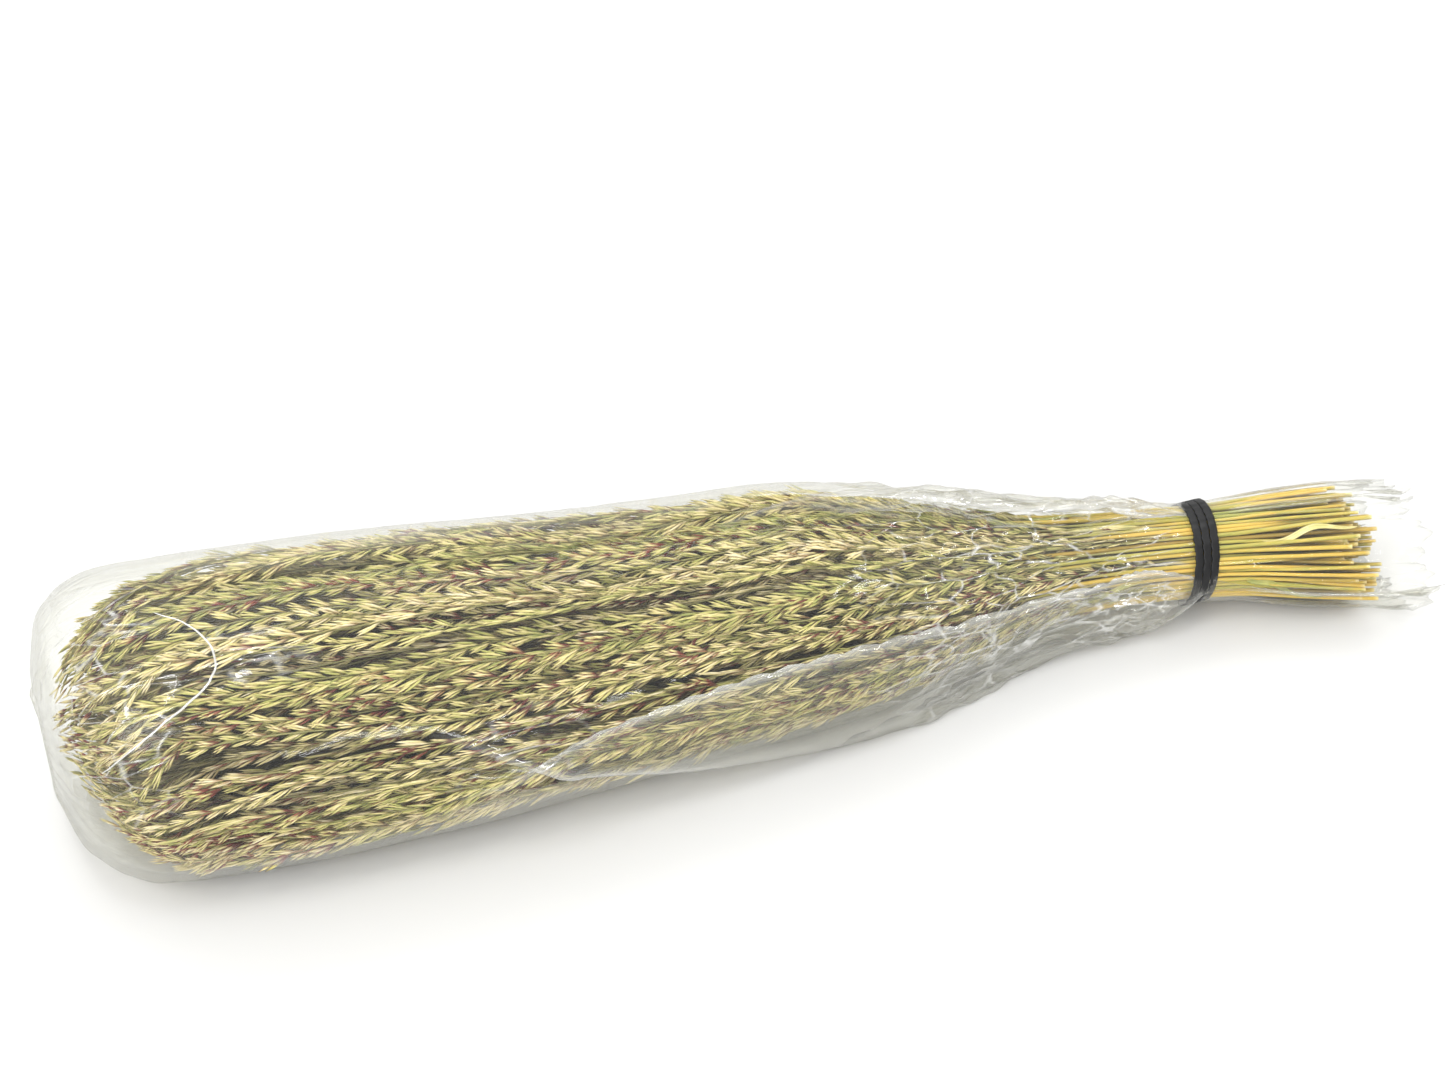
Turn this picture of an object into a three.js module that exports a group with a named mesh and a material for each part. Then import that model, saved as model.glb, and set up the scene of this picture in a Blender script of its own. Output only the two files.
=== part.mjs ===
// A florist's bundle of dried grass, lying down: a few hundred stalks with long
// two-sided heads, in a clear film sleeve that is closed at the heads and open at
// the cut ends, tied over the film by a rubber band wound three times.
//
// Millimetres, +Z up. +X runs from the heads to the cut ends, and the bundle lies
// on z = 0. A "station" is a distance from the tips of the heads towards the cut
// ends. The stalks are modelled as wisps: thin bunches that lie side by side in
// four rings, each from its heads to its cut ends.
import * as THREE from "three";

// ---- Driving dimensions ---------------------------------------------------------
const grassLength = 640; // tips of the heads to the longest cut end
const bellyWidth = 145; // widest place, through the heads
const bellyAt = 128; // station of the widest place
const shoulderWidth = 114; // where the long taper of the heads stops
const shoulderAt = 352; // station of the shoulder
const tieWidth = 50; // bare stems, pulled in by the rubber band
const neckFromCut = 122; // from the cut ends to where the stems are pulled in
const tieFromCut = 84; // from the cut ends to the middle of the rubber band
const cutWidth = 60; // the stems fan out again to their cut ends
const domeDepth = 90; // how far the rounded end of the heads runs back
const roundness = 0.9; // height of a section as a share of its width
const pressedShare = 0.14; // share of a half section that the table presses flat
const pressedEdge = 6; // how softly the pressed part turns up into the sides
const headSway = 19; // sideways bend of the bundle at the tips
const stemSway = -29; // sideways bend of the bundle at the cut ends

const wispGap = 0.6; // clear space between neighbouring wisps
const tipSetback = [2, 3, 6, 14]; // station where the wisps of each ring start
const tipSpread = 4; // how unevenly the tips end
const cutSpread = 9; // how unevenly the stems were cut

const bandWidth = 13; // three turns side by side
const bandThickness = 1.9;
const bandGroove = 0.7; // depth of the groove between two turns
const bandGap = 0.5; // band to film
const bandLean = [0.2, 0.1]; // how far the band leans, along X for each mm in Y and Z

const filmWall = 0.8; // stands for a film of 0.04 mm
const filmGap = 0.8; // film to what it touches
const filmRoom = 5; // how far the sleeve stands off the heads
const filmCutRoom = 3; // how far it stands off the cut ends
const filmEndRoom = 12; // from the tips to the closed end of the sleeve
const filmEndDepth = 72; // how far the rounded end of the sleeve runs back
const filmPastCut = 20; // from the cut ends to the mouth of the sleeve

// ---- Shape of the bundle along its length ---------------------------------------
const neckAt = grassLength - neckFromCut;
const tieAt = grassLength - tieFromCut;
const clamp01 = (value) => Math.min(1, Math.max(0, value));
const ease = (value) => THREE.MathUtils.smoothstep(value, 0, 1);
const mix = THREE.MathUtils.lerp;

// Rounded end of a given depth: 0 at its tip, 1 where it meets the straight sides.
function roundedEnd(distance, depth, squareness) {
  const left = 1 - clamp01(distance / depth);
  return (1 - left ** squareness) ** (1 / squareness);
}

// Half width of the bundle without its rounded end.
function sideLine(station) {
  const slope = (bellyWidth - shoulderWidth) / 2 / (shoulderAt - bellyAt);
  const cone = bellyWidth / 2 - slope * Math.max(0, station - bellyAt);
  const pulledIn = ease((station - shoulderAt) / (neckAt - shoulderAt));
  const fan = ease((station - tieAt) / (grassLength - tieAt));
  return mix(cone, tieWidth / 2, pulledIn) + (fan * (cutWidth - tieWidth)) / 2;
}

function grassHalfWidth(station) {
  return sideLine(station) * roundedEnd(station, domeDepth, 2.6);
}

// The centre line sways sideways and comes down from the belly to the cut ends.
function centreSide(station) {
  const fromMiddle = (station - grassLength / 2) / (grassLength / 2);
  const sway = fromMiddle < 0 ? headSway : stemSway;
  return sway * Math.abs(fromMiddle) ** 3;
}

// The heads are pressed on the table, and the band is held clear of it.
const grassFloor = filmWall + filmGap;
const pressedRise = roundness * (1 - pressedShare);
const bandRise = (roundness * tieWidth) / 2 + bandGap + bandThickness;
function centreHeight(station) {
  const along = clamp01((station - bellyAt) / (grassLength - bellyAt));
  const stiffLine = mix(bellyWidth / 2, cutWidth / 2, along);
  const side = sideLine(Math.min(station, grassLength));
  return grassFloor + Math.max(pressedRise * stiffLine, pressedRise * side, bandRise);
}

// A point of a cross-section, measured from the centre line. "grow" moves it outwards.
function sectionPoint(station, halfWidth, angle, grow = 0) {
  const side = (halfWidth + grow) * Math.cos(angle);
  const up = (halfWidth * roundness + grow) * Math.sin(angle);
  return new THREE.Vector2(centreSide(station) + side, centreHeight(station) + up);
}

// The table presses the grass flat with a soft edge.
function pressed(height) {
  const above = height - grassFloor;
  return grassFloor + (above + Math.hypot(above, pressedEdge)) / 2;
}

// ---- Solids from rings of points ------------------------------------------------
// Each ring holds the same number of points, and the first and last are closed off.
function loft(rings) {
  const count = rings[0].length;
  const vertices = rings.flat();
  const faces = [];
  for (let row = 0; row < rings.length - 1; row += 1) {
    for (let i = 0; i < count; i += 1) {
      const a = row * count + i;
      const b = row * count + ((i + 1) % count);
      faces.push([a, b, b + count], [a, b + count, a + count]);
    }
  }
  closeRing(vertices, faces, 0, count, true);
  closeRing(vertices, faces, (rings.length - 1) * count, count, false);
  return solid(vertices, faces);
}

// A fan from the middle of one ring.
function closeRing(vertices, faces, start, count, isFirst) {
  const middle = new THREE.Vector3();
  for (let i = 0; i < count; i += 1) middle.addScaledVector(vertices[start + i], 1 / count);
  const hub = vertices.push(middle) - 1;
  for (let i = 0; i < count; i += 1) {
    const a = start + i;
    const b = start + ((i + 1) % count);
    faces.push(isFirst ? [hub, b, a] : [hub, a, b]);
  }
}

// A ring-shaped solid: the rows close on themselves both ways.
function torus(rows) {
  const count = rows[0].length;
  const faces = [];
  for (let row = 0; row < rows.length; row += 1) {
    const next = (row + 1) % rows.length;
    for (let i = 0; i < count; i += 1) {
      const j = (i + 1) % count;
      faces.push([row * count + i, next * count + i, next * count + j]);
      faces.push([row * count + i, next * count + j, row * count + j]);
    }
  }
  return solid(rows.flat(), faces);
}

// Six times the signed volume tells which way the faces look.
function solid(vertices, faces) {
  let volume = 0;
  for (const [a, b, c] of faces) {
    volume += vertices[a].dot(new THREE.Vector3().crossVectors(vertices[b], vertices[c]));
  }
  const outward = volume > 0 ? faces : faces.map(([a, b, c]) => [a, c, b]);
  const geometry = new THREE.BufferGeometry().setFromPoints(vertices);
  geometry.setIndex(outward.flat());
  geometry.computeVertexNormals();
  return geometry;
}

// ---- Wisps of stalks ------------------------------------------------------------
// One set of stations serves every wisp, so that neighbours share their bends.
const domeStations = [0.02, 0.07, 0.18, 0.38, 0.68].map((share) => share * domeDepth);
const bodyStations = [0.12, 0.45, 0.8].map((share) => mix(bellyAt, shoulderAt, share));
const shoulderStations = [0, 0.28, 0.52, 0.76, 1].map((share) => mix(shoulderAt, neckAt, share));
const bandReach = (bandWidth + (bandLean[0] + bandLean[1]) * tieWidth) / 2;
const bandStations = [tieAt - bandReach, tieAt, tieAt + bandReach];
const stemStations = [...bandStations, mix(tieAt + bandReach, grassLength, 0.5), grassLength];
const stations = [...domeStations, ...bodyStations, ...shoulderStations, ...stemStations];

// A ring of wisps fills the bundle between two shares of its section. The arcs of
// every ring step on the same 10 or 30 degrees, so that neighbours share corners.
const rings = [
  { name: "stalks_core", wisps: 1, arcSteps: 12, from: 0, to: 0.18 },
  { name: "stalks_inner", wisps: 6, arcSteps: 2, from: 0.18, to: 0.45 },
  { name: "stalks_middle", wisps: 12, arcSteps: 3, from: 0.45, to: 0.72 },
  { name: "stalks_outer", wisps: 18, arcSteps: 2, from: 0.72, to: 1 },
];

// Outline of one wisp: [angle, share] around its piece of the ring.
function wispOutline(ring, index) {
  const step = (2 * Math.PI) / ring.wisps / ring.arcSteps;
  const isWhole = ring.wisps === 1;
  const cornerCount = isWhole ? ring.arcSteps : ring.arcSteps + 1;
  const arc = Array.from({ length: cornerCount }, (_, i) => (index * ring.arcSteps + i) * step);
  const outer = arc.map((angle) => [angle, ring.to]);
  const inner = arc.toReversed().map((angle) => [angle, ring.from]);
  return isWhole ? outer : [...outer, ...inner];
}

// Draws a flat outline in by the same distance all round its middle.
function drawIn(points, distance) {
  const middle = points.reduce((sum, p) => sum.addScaledVector(p, 1 / points.length), new THREE.Vector2());
  const reach = points.map((p, i) => {
    const edge = points[(i + 1) % points.length].clone().sub(p);
    return Math.abs(edge.cross(middle.clone().sub(p))) / edge.length();
  });
  const scale = 1 - distance / Math.min(...reach);
  return points.map((p) => p.clone().sub(middle).multiplyScalar(scale).add(middle));
}

// Share 1 of a section is its outline, and share 0 its centre.
function wispRing(outline, station) {
  const centre = new THREE.Vector2(centreSide(station), centreHeight(station));
  const flat = outline.map(([angle, share]) => {
    const edge = sectionPoint(station, grassHalfWidth(station), angle);
    return centre.clone().lerp(edge.setY(pressed(edge.y)), share);
  });
  return drawIn(flat, wispGap / 2).map((p) => new THREE.Vector3(station, p.x, p.y));
}

// Between two stations a wisp is straight, wherever it happens to end.
function wispRingBetween(outline, station) {
  const next = stations.findIndex((value) => value >= station - 1e-6);
  const before = Math.max(0, next - 1);
  const span = stations[next] - stations[before] || 1;
  const share = clamp01((station - stations[before]) / span);
  const first = wispRing(outline, stations[before]);
  const last = wispRing(outline, stations[next]);
  return first.map((point, i) => point.clone().lerp(last[i], share));
}

// Uneven but always the same number between 0 and 1 for a wisp.
const uneven = (seed) => (Math.abs(Math.sin(seed * 12.9898) * 43758.5453) % 1);

function wisp(ring, ringNumber, index) {
  const outline = wispOutline(ring, index);
  const seed = ringNumber * 31 + index + 1;
  const start = Math.max(tipSetback[ringNumber] + tipSpread * uneven(seed), stations[0]);
  const end = grassLength - (index === 0 ? 0 : cutSpread * uneven(seed + 0.5));
  const between = stations.filter((value) => value > start + 1 && value < end - 1);
  return loft([
    wispRingBetween(outline, start),
    ...between.map((value) => wispRing(outline, value)),
    wispRingBetween(outline, end),
  ]);
}

// ---- Rubber band ----------------------------------------------------------------
// Its profile across the three turns: [share of the width, height above the film].
function bandProfile() {
  const crown = bandThickness;
  const groove = bandThickness - bandGroove;
  const edge = 0.35 * bandThickness;
  const outside = [
    [-0.5, edge], [-0.43, crown], [-0.24, crown], [-1 / 6, groove], [-0.1, crown],
    [0.1, crown], [1 / 6, groove], [0.24, crown], [0.43, crown], [0.5, edge],
  ];
  return [...outside, [0.5, 0], [-0.5, 0]];
}

function rubberBand() {
  const aroundCount = 40;
  const overFilm = filmGap + filmWall + bandGap;
  const rows = bandProfile().map(([across, height]) => {
    return Array.from({ length: aroundCount }, (_, i) => {
      const angle = (2 * Math.PI * i) / aroundCount;
      const leanSide = bandLean[0] * Math.cos(angle);
      const leanUp = bandLean[1] * roundness * Math.sin(angle);
      const station = tieAt + across * bandWidth + ((leanSide + leanUp) * tieWidth) / 2;
      const p = sectionPoint(station, sideLine(station), angle, overFilm + height);
      return new THREE.Vector3(station, p.x, p.y);
    });
  });
  return torus(rows);
}

// ---- Film sleeve ----------------------------------------------------------------
// It stands off the heads, hugs the stems under the band, and opens past the cut ends.
function filmStandOff(station) {
  const towardsTie = mix(filmRoom, filmGap, ease((station - shoulderAt) / (neckAt - shoulderAt)));
  const towardsCut = ease((station - tieAt - bandReach) / (grassLength - tieAt - bandReach));
  return towardsTie + towardsCut * (filmCutRoom - filmGap);
}

function sleeveHalfWidth(station) {
  const flat = sideLine(Math.min(station, grassLength)) + filmStandOff(station);
  return flat * roundedEnd(station + filmEndRoom, filmEndDepth, 3);
}

function sleeveRing(station, wallShare, aroundCount) {
  const outward = wallShare * filmWall;
  const floor = (1 - wallShare) * filmWall;
  return Array.from({ length: aroundCount }, (_, i) => {
    const angle = (2 * Math.PI * (i + 0.5)) / aroundCount;
    const p = sectionPoint(station, sleeveHalfWidth(station), angle, outward);
    return new THREE.Vector3(station, p.x, Math.max(p.y, floor));
  });
}

function filmSleeve() {
  const aroundCount = 36;
  const mouth = grassLength + filmPastCut;
  const endStations = [0.02, 0.1, 0.24, 0.45, 0.72, 1].map((share) => share * filmEndDepth - filmEndRoom);
  const run = [...endStations, ...stations.filter((value) => value > filmEndDepth), mouth];
  const outside = run.map((station) => sleeveRing(station, 1, aroundCount));
  const inside = run.map((station) => sleeveRing(station, 0, aroundCount));
  // The closed end is as thick as the wall.
  for (const point of inside[0]) point.x += filmWall;
  return loft([...outside, ...inside.reverse()]);
}

// ---- Assembly -------------------------------------------------------------------
const dryGrass = (hue) => new THREE.MeshStandardMaterial({ color: hue, roughness: 0.85, metalness: 0 });
const rubber = new THREE.MeshStandardMaterial({ color: 0x2b2b2c, roughness: 0.55, metalness: 0 });
const clearFilm = new THREE.MeshStandardMaterial({
  color: 0xe6e8e6, roughness: 0.12, metalness: 0, transparent: true, opacity: 0.3,
});

const bundle = new THREE.Group();
function add(name, geometry, material) {
  const mesh = new THREE.Mesh(geometry, material);
  mesh.name = name;
  bundle.add(mesh);
}

const strawHues = [0xc9c98c, 0xb5ba78, 0xd3c98f, 0xbfb67c];
rings.forEach((ring, ringNumber) => {
  for (let index = 0; index < ring.wisps; index += 1) {
    const name = ring.wisps === 1 ? ring.name : `${ring.name}_${index + 1}`;
    const hue = strawHues[(ringNumber + index) % strawHues.length];
    add(name, wisp(ring, ringNumber, index), dryGrass(hue));
  }
});
add("rubber_band", rubberBand(), rubber);
add("sleeve", filmSleeve(), clearFilm);

// The origin is under the middle of the whole bundle, on the table.
const size = new THREE.Box3().setFromObject(bundle, true);
bundle.position.set(-(size.min.x + size.max.x) / 2, -(size.min.y + size.max.y) / 2, 0);

export default bundle;
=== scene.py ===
"""A lying bundle of dried grass in a clear film sleeve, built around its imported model.

Metres, +Z up. +X runs along the bundle from the seed heads to the cut ends. The model
gives a wisp of about ten stalks as one plain solid: here each wisp is grown out of
single stalks, with a bare stem and a two-sided head of spikelets.
"""
import math

import bmesh
import bpy
import numpy as np
from mathutils import Matrix, Vector


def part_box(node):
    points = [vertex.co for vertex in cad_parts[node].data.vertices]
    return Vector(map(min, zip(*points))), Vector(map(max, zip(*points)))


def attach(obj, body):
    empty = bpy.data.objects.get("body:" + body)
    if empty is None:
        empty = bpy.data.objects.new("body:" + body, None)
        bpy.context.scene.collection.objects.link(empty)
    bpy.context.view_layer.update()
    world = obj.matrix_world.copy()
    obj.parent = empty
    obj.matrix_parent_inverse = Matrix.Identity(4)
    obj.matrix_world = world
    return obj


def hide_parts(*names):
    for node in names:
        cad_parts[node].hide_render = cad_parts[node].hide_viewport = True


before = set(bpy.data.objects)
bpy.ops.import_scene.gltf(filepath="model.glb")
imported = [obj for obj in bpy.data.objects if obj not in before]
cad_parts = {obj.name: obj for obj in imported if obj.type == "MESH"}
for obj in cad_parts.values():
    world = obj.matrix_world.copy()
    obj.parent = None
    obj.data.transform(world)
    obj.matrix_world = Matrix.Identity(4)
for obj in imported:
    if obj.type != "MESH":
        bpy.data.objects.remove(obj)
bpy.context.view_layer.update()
MM = 0.001
SEED = 7

# ---- Small helpers ---------------------------------------------------------------


def unit(vectors):
    """Rows of vectors, each made one long."""
    return vectors / np.linalg.norm(vectors, axis=1)[:, None]


def linear(hex_colour):
    """An sRGB hex colour as linear RGBA."""
    parts = [int(hex_colour[i : i + 2], 16) / 255 for i in (1, 3, 5)]
    return [p / 12.92 if p <= 0.04045 else ((p + 0.055) / 1.055) ** 2.4 for p in parts] + [1.0]


def node(tree, kind, inputs=None, stops=(), **settings):
    """Adds a node, sets its properties, and links or sets its inputs by name or number.
    Stops are a colour ramp's: (place, hex colour), the first and last for its ends."""
    made = tree.nodes.new(kind)
    for name, value in settings.items():
        setattr(made, name, value)
    for key, value in (inputs or {}).items():
        if isinstance(value, bpy.types.NodeSocket):
            tree.links.new(value, made.inputs[key])
        else:
            made.inputs[key].default_value = value
    for index, (place, colour) in enumerate(stops):
        elements = made.color_ramp.elements
        is_end = index in (0, len(stops) - 1)
        stop = elements[0 if index == 0 else -1] if is_end else elements.new(place)
        stop.position = place
        stop.color = linear(colour)
    return made


def smooth(value, low, high):
    """0 below low, 1 above high, with soft ends."""
    t = np.clip((np.asarray(value, float) - low) / (high - low), 0, 1)
    return t * t * (3 - 2 * t)


def between(value, low, high, soft):
    """1 from low to high, fading to 0 over a soft margin."""
    return smooth(value, low - soft, low) * (1 - smooth(value, high, high + soft))


def bump(value, middle, width):
    """A smooth bell of height 1."""
    return np.exp(-(((value - middle) / width) ** 2))


def along_curve(knots, values, places):
    """Values at places between knots, on one smooth curve through them."""
    knots = np.asarray(knots, float)
    values = np.asarray(values, float)
    slopes = np.gradient(values, knots, axis=0)
    i = np.clip(np.searchsorted(knots, places) - 1, 0, len(knots) - 2)
    span = knots[i + 1] - knots[i]
    t = np.clip((places - knots[i]) / span, 0, 1)
    shape = (-1,) + (1,) * (values.ndim - 1)
    t, span = t.reshape(shape), span.reshape(shape)
    start, end = values[i], values[i + 1]
    return (
        (2 * t**3 - 3 * t**2 + 1) * start
        + (t**3 - 2 * t**2 + t) * span * slopes[i]
        + (3 * t**2 - 2 * t**3) * end
        + (t**3 - t**2) * span * slopes[i + 1]
    )


def mesh_object(name, vertices, faces, edges=()):
    """A smooth-shaded mesh object at the origin, linked to the scene."""
    mesh = bpy.data.meshes.new(name)
    mesh.from_pydata([tuple(v) for v in vertices], list(edges), [tuple(f) for f in faces])
    mesh.polygons.foreach_set("use_smooth", [True] * len(mesh.polygons))
    mesh.update()
    made = bpy.data.objects.new(name, mesh)
    bpy.context.scene.collection.objects.link(made)
    return made


def outward_faces(made):
    """Turns a closed mesh's faces outwards."""
    work = bmesh.new()
    work.from_mesh(made.data)
    bmesh.ops.recalc_face_normals(work, faces=work.faces)
    work.to_mesh(made.data)
    work.free()


def paint(made, name, values, kind="FLOAT"):
    """Stores one value for each vertex under a name that materials and trees read."""
    layer = made.data.attributes.new(name, kind, "POINT")
    field = "vector" if kind == "FLOAT_VECTOR" else "value"
    layer.data.foreach_set(field, np.asarray(values, np.float32).ravel())


def skinned(name, rings, count):
    """A closed bar from its rings of corners, count of them in each ring."""
    faces = []
    for start in range(0, len(rings) - count, count):
        for corner in range(count):
            a, b = start + corner, start + (corner + 1) % count
            faces.append((a, b, b + count, a + count))
    faces.append(tuple(reversed(range(count))))
    faces.append(tuple(range(len(rings) - count, len(rings))))
    made = mesh_object(name, rings, faces)
    outward_faces(made)
    return made


# ---- What the model gives: sections along the bundle --------------------------------
# Every section of a wisp or of the sleeve lies in a plane of constant X.
AROUND = 72  # angles at which an outline is read
ANGLES = np.arange(AROUND) * 2 * math.pi / AROUND


def section_points(name):
    """The corners of a node's sections: {x: points in Y and Z}."""
    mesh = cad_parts[name].data
    corners = np.zeros(len(mesh.vertices) * 3)
    mesh.vertices.foreach_get("co", corners)
    corners = np.unique(np.round(corners.reshape(-1, 3), 6), axis=0)
    places = np.round(corners[:, 0], 4)
    return {x: corners[places == x][:, 1:] for x in np.unique(places)}


def reach_around(points, middle, skin):
    """How far an outline reaches from its middle at each of the angles."""
    offsets = points - middle
    turn = np.arctan2(offsets[:, 1], offsets[:, 0])
    reach = np.hypot(offsets[:, 0], offsets[:, 1])
    order = np.argsort(turn)
    offsets, reach = offsets[order], reach[order]
    nearby = np.maximum(np.maximum(reach, np.roll(reach, 1)), np.roll(reach, -1))
    outline = offsets[(reach > 0.3 * reach.max()) & (reach > nearby - skin)]
    radii = np.zeros(AROUND)
    ends = np.roll(outline, -1, axis=0)
    for k, angle in enumerate(ANGLES):
        ray = np.array([math.cos(angle), math.sin(angle)])
        edge = ends - outline
        cross = ray[0] * edge[:, 1] - ray[1] * edge[:, 0]
        cross = np.where(np.abs(cross) < 1e-12, 1e-12, cross)
        far = (outline[:, 0] * edge[:, 1] - outline[:, 1] * edge[:, 0]) / cross
        share = (outline[:, 0] * ray[1] - outline[:, 1] * ray[0]) / cross
        hits = far[(far > 0) & (share > -1e-6) & (share < 1 + 1e-6)]
        radii[k] = hits.max() if len(hits) else reach.mean()
    return radii


class Sections:
    """The middle and the outline of a node's sections, at any place along the bundle."""

    def __init__(self, name, least_points=0, skin=1.0):
        rings = section_points(name)
        first = min(rings)
        self.x = np.array([x for x in sorted(rings) if x == first or len(rings[x]) >= least_points])
        self.middle = np.array([(rings[x].min(0) + rings[x].max(0)) / 2 for x in self.x])
        self.reach = np.array([reach_around(rings[x], m, skin) for x, m in zip(self.x, self.middle)])

    def middle_at(self, x):
        return along_curve(self.x, self.middle, np.asarray(x))

    def reach_at(self, x, angle):
        """Outline radius at places x and angles, arrays of one shape."""
        rows = along_curve(self.x, self.reach, np.asarray(x))
        turn = (np.asarray(angle) / (2 * math.pi) * AROUND) % AROUND
        low = turn.astype(int) % AROUND
        share = turn - np.floor(turn)
        pick = np.arange(len(rows))
        return rows[pick, low] * (1 - share) + rows[pick, (low + 1) % AROUND] * share


sleeve = Sections("sleeve", least_points=50, skin=0.5 * MM)
TIP_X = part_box("stalks_core")[0].x
CUT_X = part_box("stalks_core")[1].x
band_low, band_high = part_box("rubber_band")
BAND_X = (band_low.x + band_high.x) / 2


def at(distance):
    """Place along X of a distance, in millimetres, from the tips of the heads."""
    return TIP_X + distance * MM


# ---- Camera, light and table ----------------------------------------------------------
LENS, SENSOR_WIDTH = 65, 36  # mm
CAMERA_AZIMUTH, CAMERA_ELEVATION = math.radians(-18.3), math.radians(44)
CAMERA_AIM = Vector((0.0098, 0.0537, 0.037))
CAMERA_DISTANCE = 1.299
TABLE_HALF = 6.0
BUNDLE_MIDDLE = (0, 0, 0.05)
# (name, place, aim, size, watts)
LAMPS = (
    ("softbox_back", (0.10, 1.15, 1.60), BUNDLE_MIDDLE, (2.2, 1.0), 18),
    ("softbox_key", (-1.20, -1.10, 1.50), BUNDLE_MIDDLE, (1.10, 1.10), 24),
    ("glint_top", (-0.36, -0.40, 1.50), (-0.23, 0, 0.1), (0.16, 0.42), 5.5),
    ("strip_right", (1.10, -0.35, 1.20), BUNDLE_MIDDLE, (0.50, 0.08), 2.6),
    ("strip_front", (0.10, -1.50, 0.62), BUNDLE_MIDDLE, (0.90, 0.10), 4.2),
)
SKY_LOW, SKY_HIGH = 0.55, 1.14  # strength of the light from the sides and from above


def place_looking(made, place, back):
    """Puts a camera or lamp at a place, with its back to a direction."""
    bpy.context.scene.collection.objects.link(made)
    turn = back.to_track_quat("Z", "Y").to_matrix().to_4x4()
    made.matrix_world = Matrix.Translation(place) @ turn


def add_camera():
    """Looks down on the bundle from its front, a little from the side of the heads."""
    lens_data = bpy.data.cameras.new("camera")
    lens_data.lens = LENS
    lens_data.sensor_width = SENSOR_WIDTH
    lens_data.clip_end = 20
    camera = bpy.data.objects.new("camera", lens_data)
    back = Vector((
        math.sin(CAMERA_AZIMUTH) * math.cos(CAMERA_ELEVATION),
        -math.cos(CAMERA_AZIMUTH) * math.cos(CAMERA_ELEVATION),
        math.sin(CAMERA_ELEVATION),
    ))
    place_looking(camera, CAMERA_AIM + CAMERA_DISTANCE * back, back)
    bpy.context.scene.camera = camera


def add_softbox(name, place, aim, size, power):
    """A rectangular studio lamp that shines from its place towards a point."""
    lamp = bpy.data.lights.new(name, "AREA")
    lamp.shape = "RECTANGLE"
    lamp.size, lamp.size_y = size
    lamp.energy = power
    made = bpy.data.objects.new(name, lamp)
    made.visible_camera = False
    place_looking(made, place, Vector(place) - Vector(aim))


def add_studio():
    """A pale table, soft light from all round, and lamps for shade and the film's shine."""
    corners = [(x * TABLE_HALF, y * TABLE_HALF, 0) for x, y in ((-1, -1), (1, -1), (1, 1), (-1, 1))]
    floor = mesh_object("table", corners, [(0, 1, 2, 3)])
    paper = bpy.data.materials.new("white_table")
    paper.use_nodes = True
    shader = paper.node_tree.nodes["Principled BSDF"]
    shader.inputs["Base Color"].default_value = linear("#D2D2D1")
    shader.inputs["Roughness"].default_value = 0.9
    floor.data.materials.append(paper)

    for lamp in LAMPS:
        add_softbox(*lamp)
    world = bpy.data.worlds.new("studio")
    world.use_nodes = True
    tree = world.node_tree
    sky = node(tree, "ShaderNodeTexCoord")
    height = node(tree, "ShaderNodeSeparateXYZ", {0: sky.outputs["Generated"]})
    fade = node(tree, "ShaderNodeMapRange", {0: height.outputs[2], 1: -0.1, 2: 0.9, 3: SKY_LOW, 4: SKY_HIGH})
    tree.links.new(fade.outputs[0], tree.nodes["Background"].inputs["Strength"])
    tree.nodes["Background"].inputs["Color"].default_value = (1, 1, 1, 1)
    bpy.context.scene.world = world
    bpy.context.scene.view_settings.view_transform = "Standard"
    bpy.context.scene.cycles.transparent_max_bounces = 32


add_camera()
add_studio()

# ---- Materials ---------------------------------------------------------------------
# Painted shade: grass at the heart of the bundle keeps only this share of its colour, for the shade between
# the stalks.
PAINTED_SHADE_SHARE = (0.14, 0.135, 0.10)  # of its colour that grass keeps at the heart of the bundle


def new_material(name):
    """An empty node material and its output."""
    material = bpy.data.materials.new(name)
    material.use_nodes = True
    material.node_tree.nodes.clear()
    return material, node(material.node_tree, "ShaderNodeOutputMaterial")


def painted_depth_shade(tree, colour):
    """Painted shade: grass deeper in the bundle is darkened towards a dark olive brown."""
    dark = node(tree, "ShaderNodeVectorMath", {0: colour, 1: PAINTED_SHADE_SHARE}, operation="MULTIPLY").outputs[0]
    near_skin = node(tree, "ShaderNodeAttribute", attribute_name="near_skin").outputs["Fac"]
    return node(tree, "ShaderNodeMix", {0: near_skin, 6: dark, 7: colour}, data_type="RGBA").outputs[2]


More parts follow.
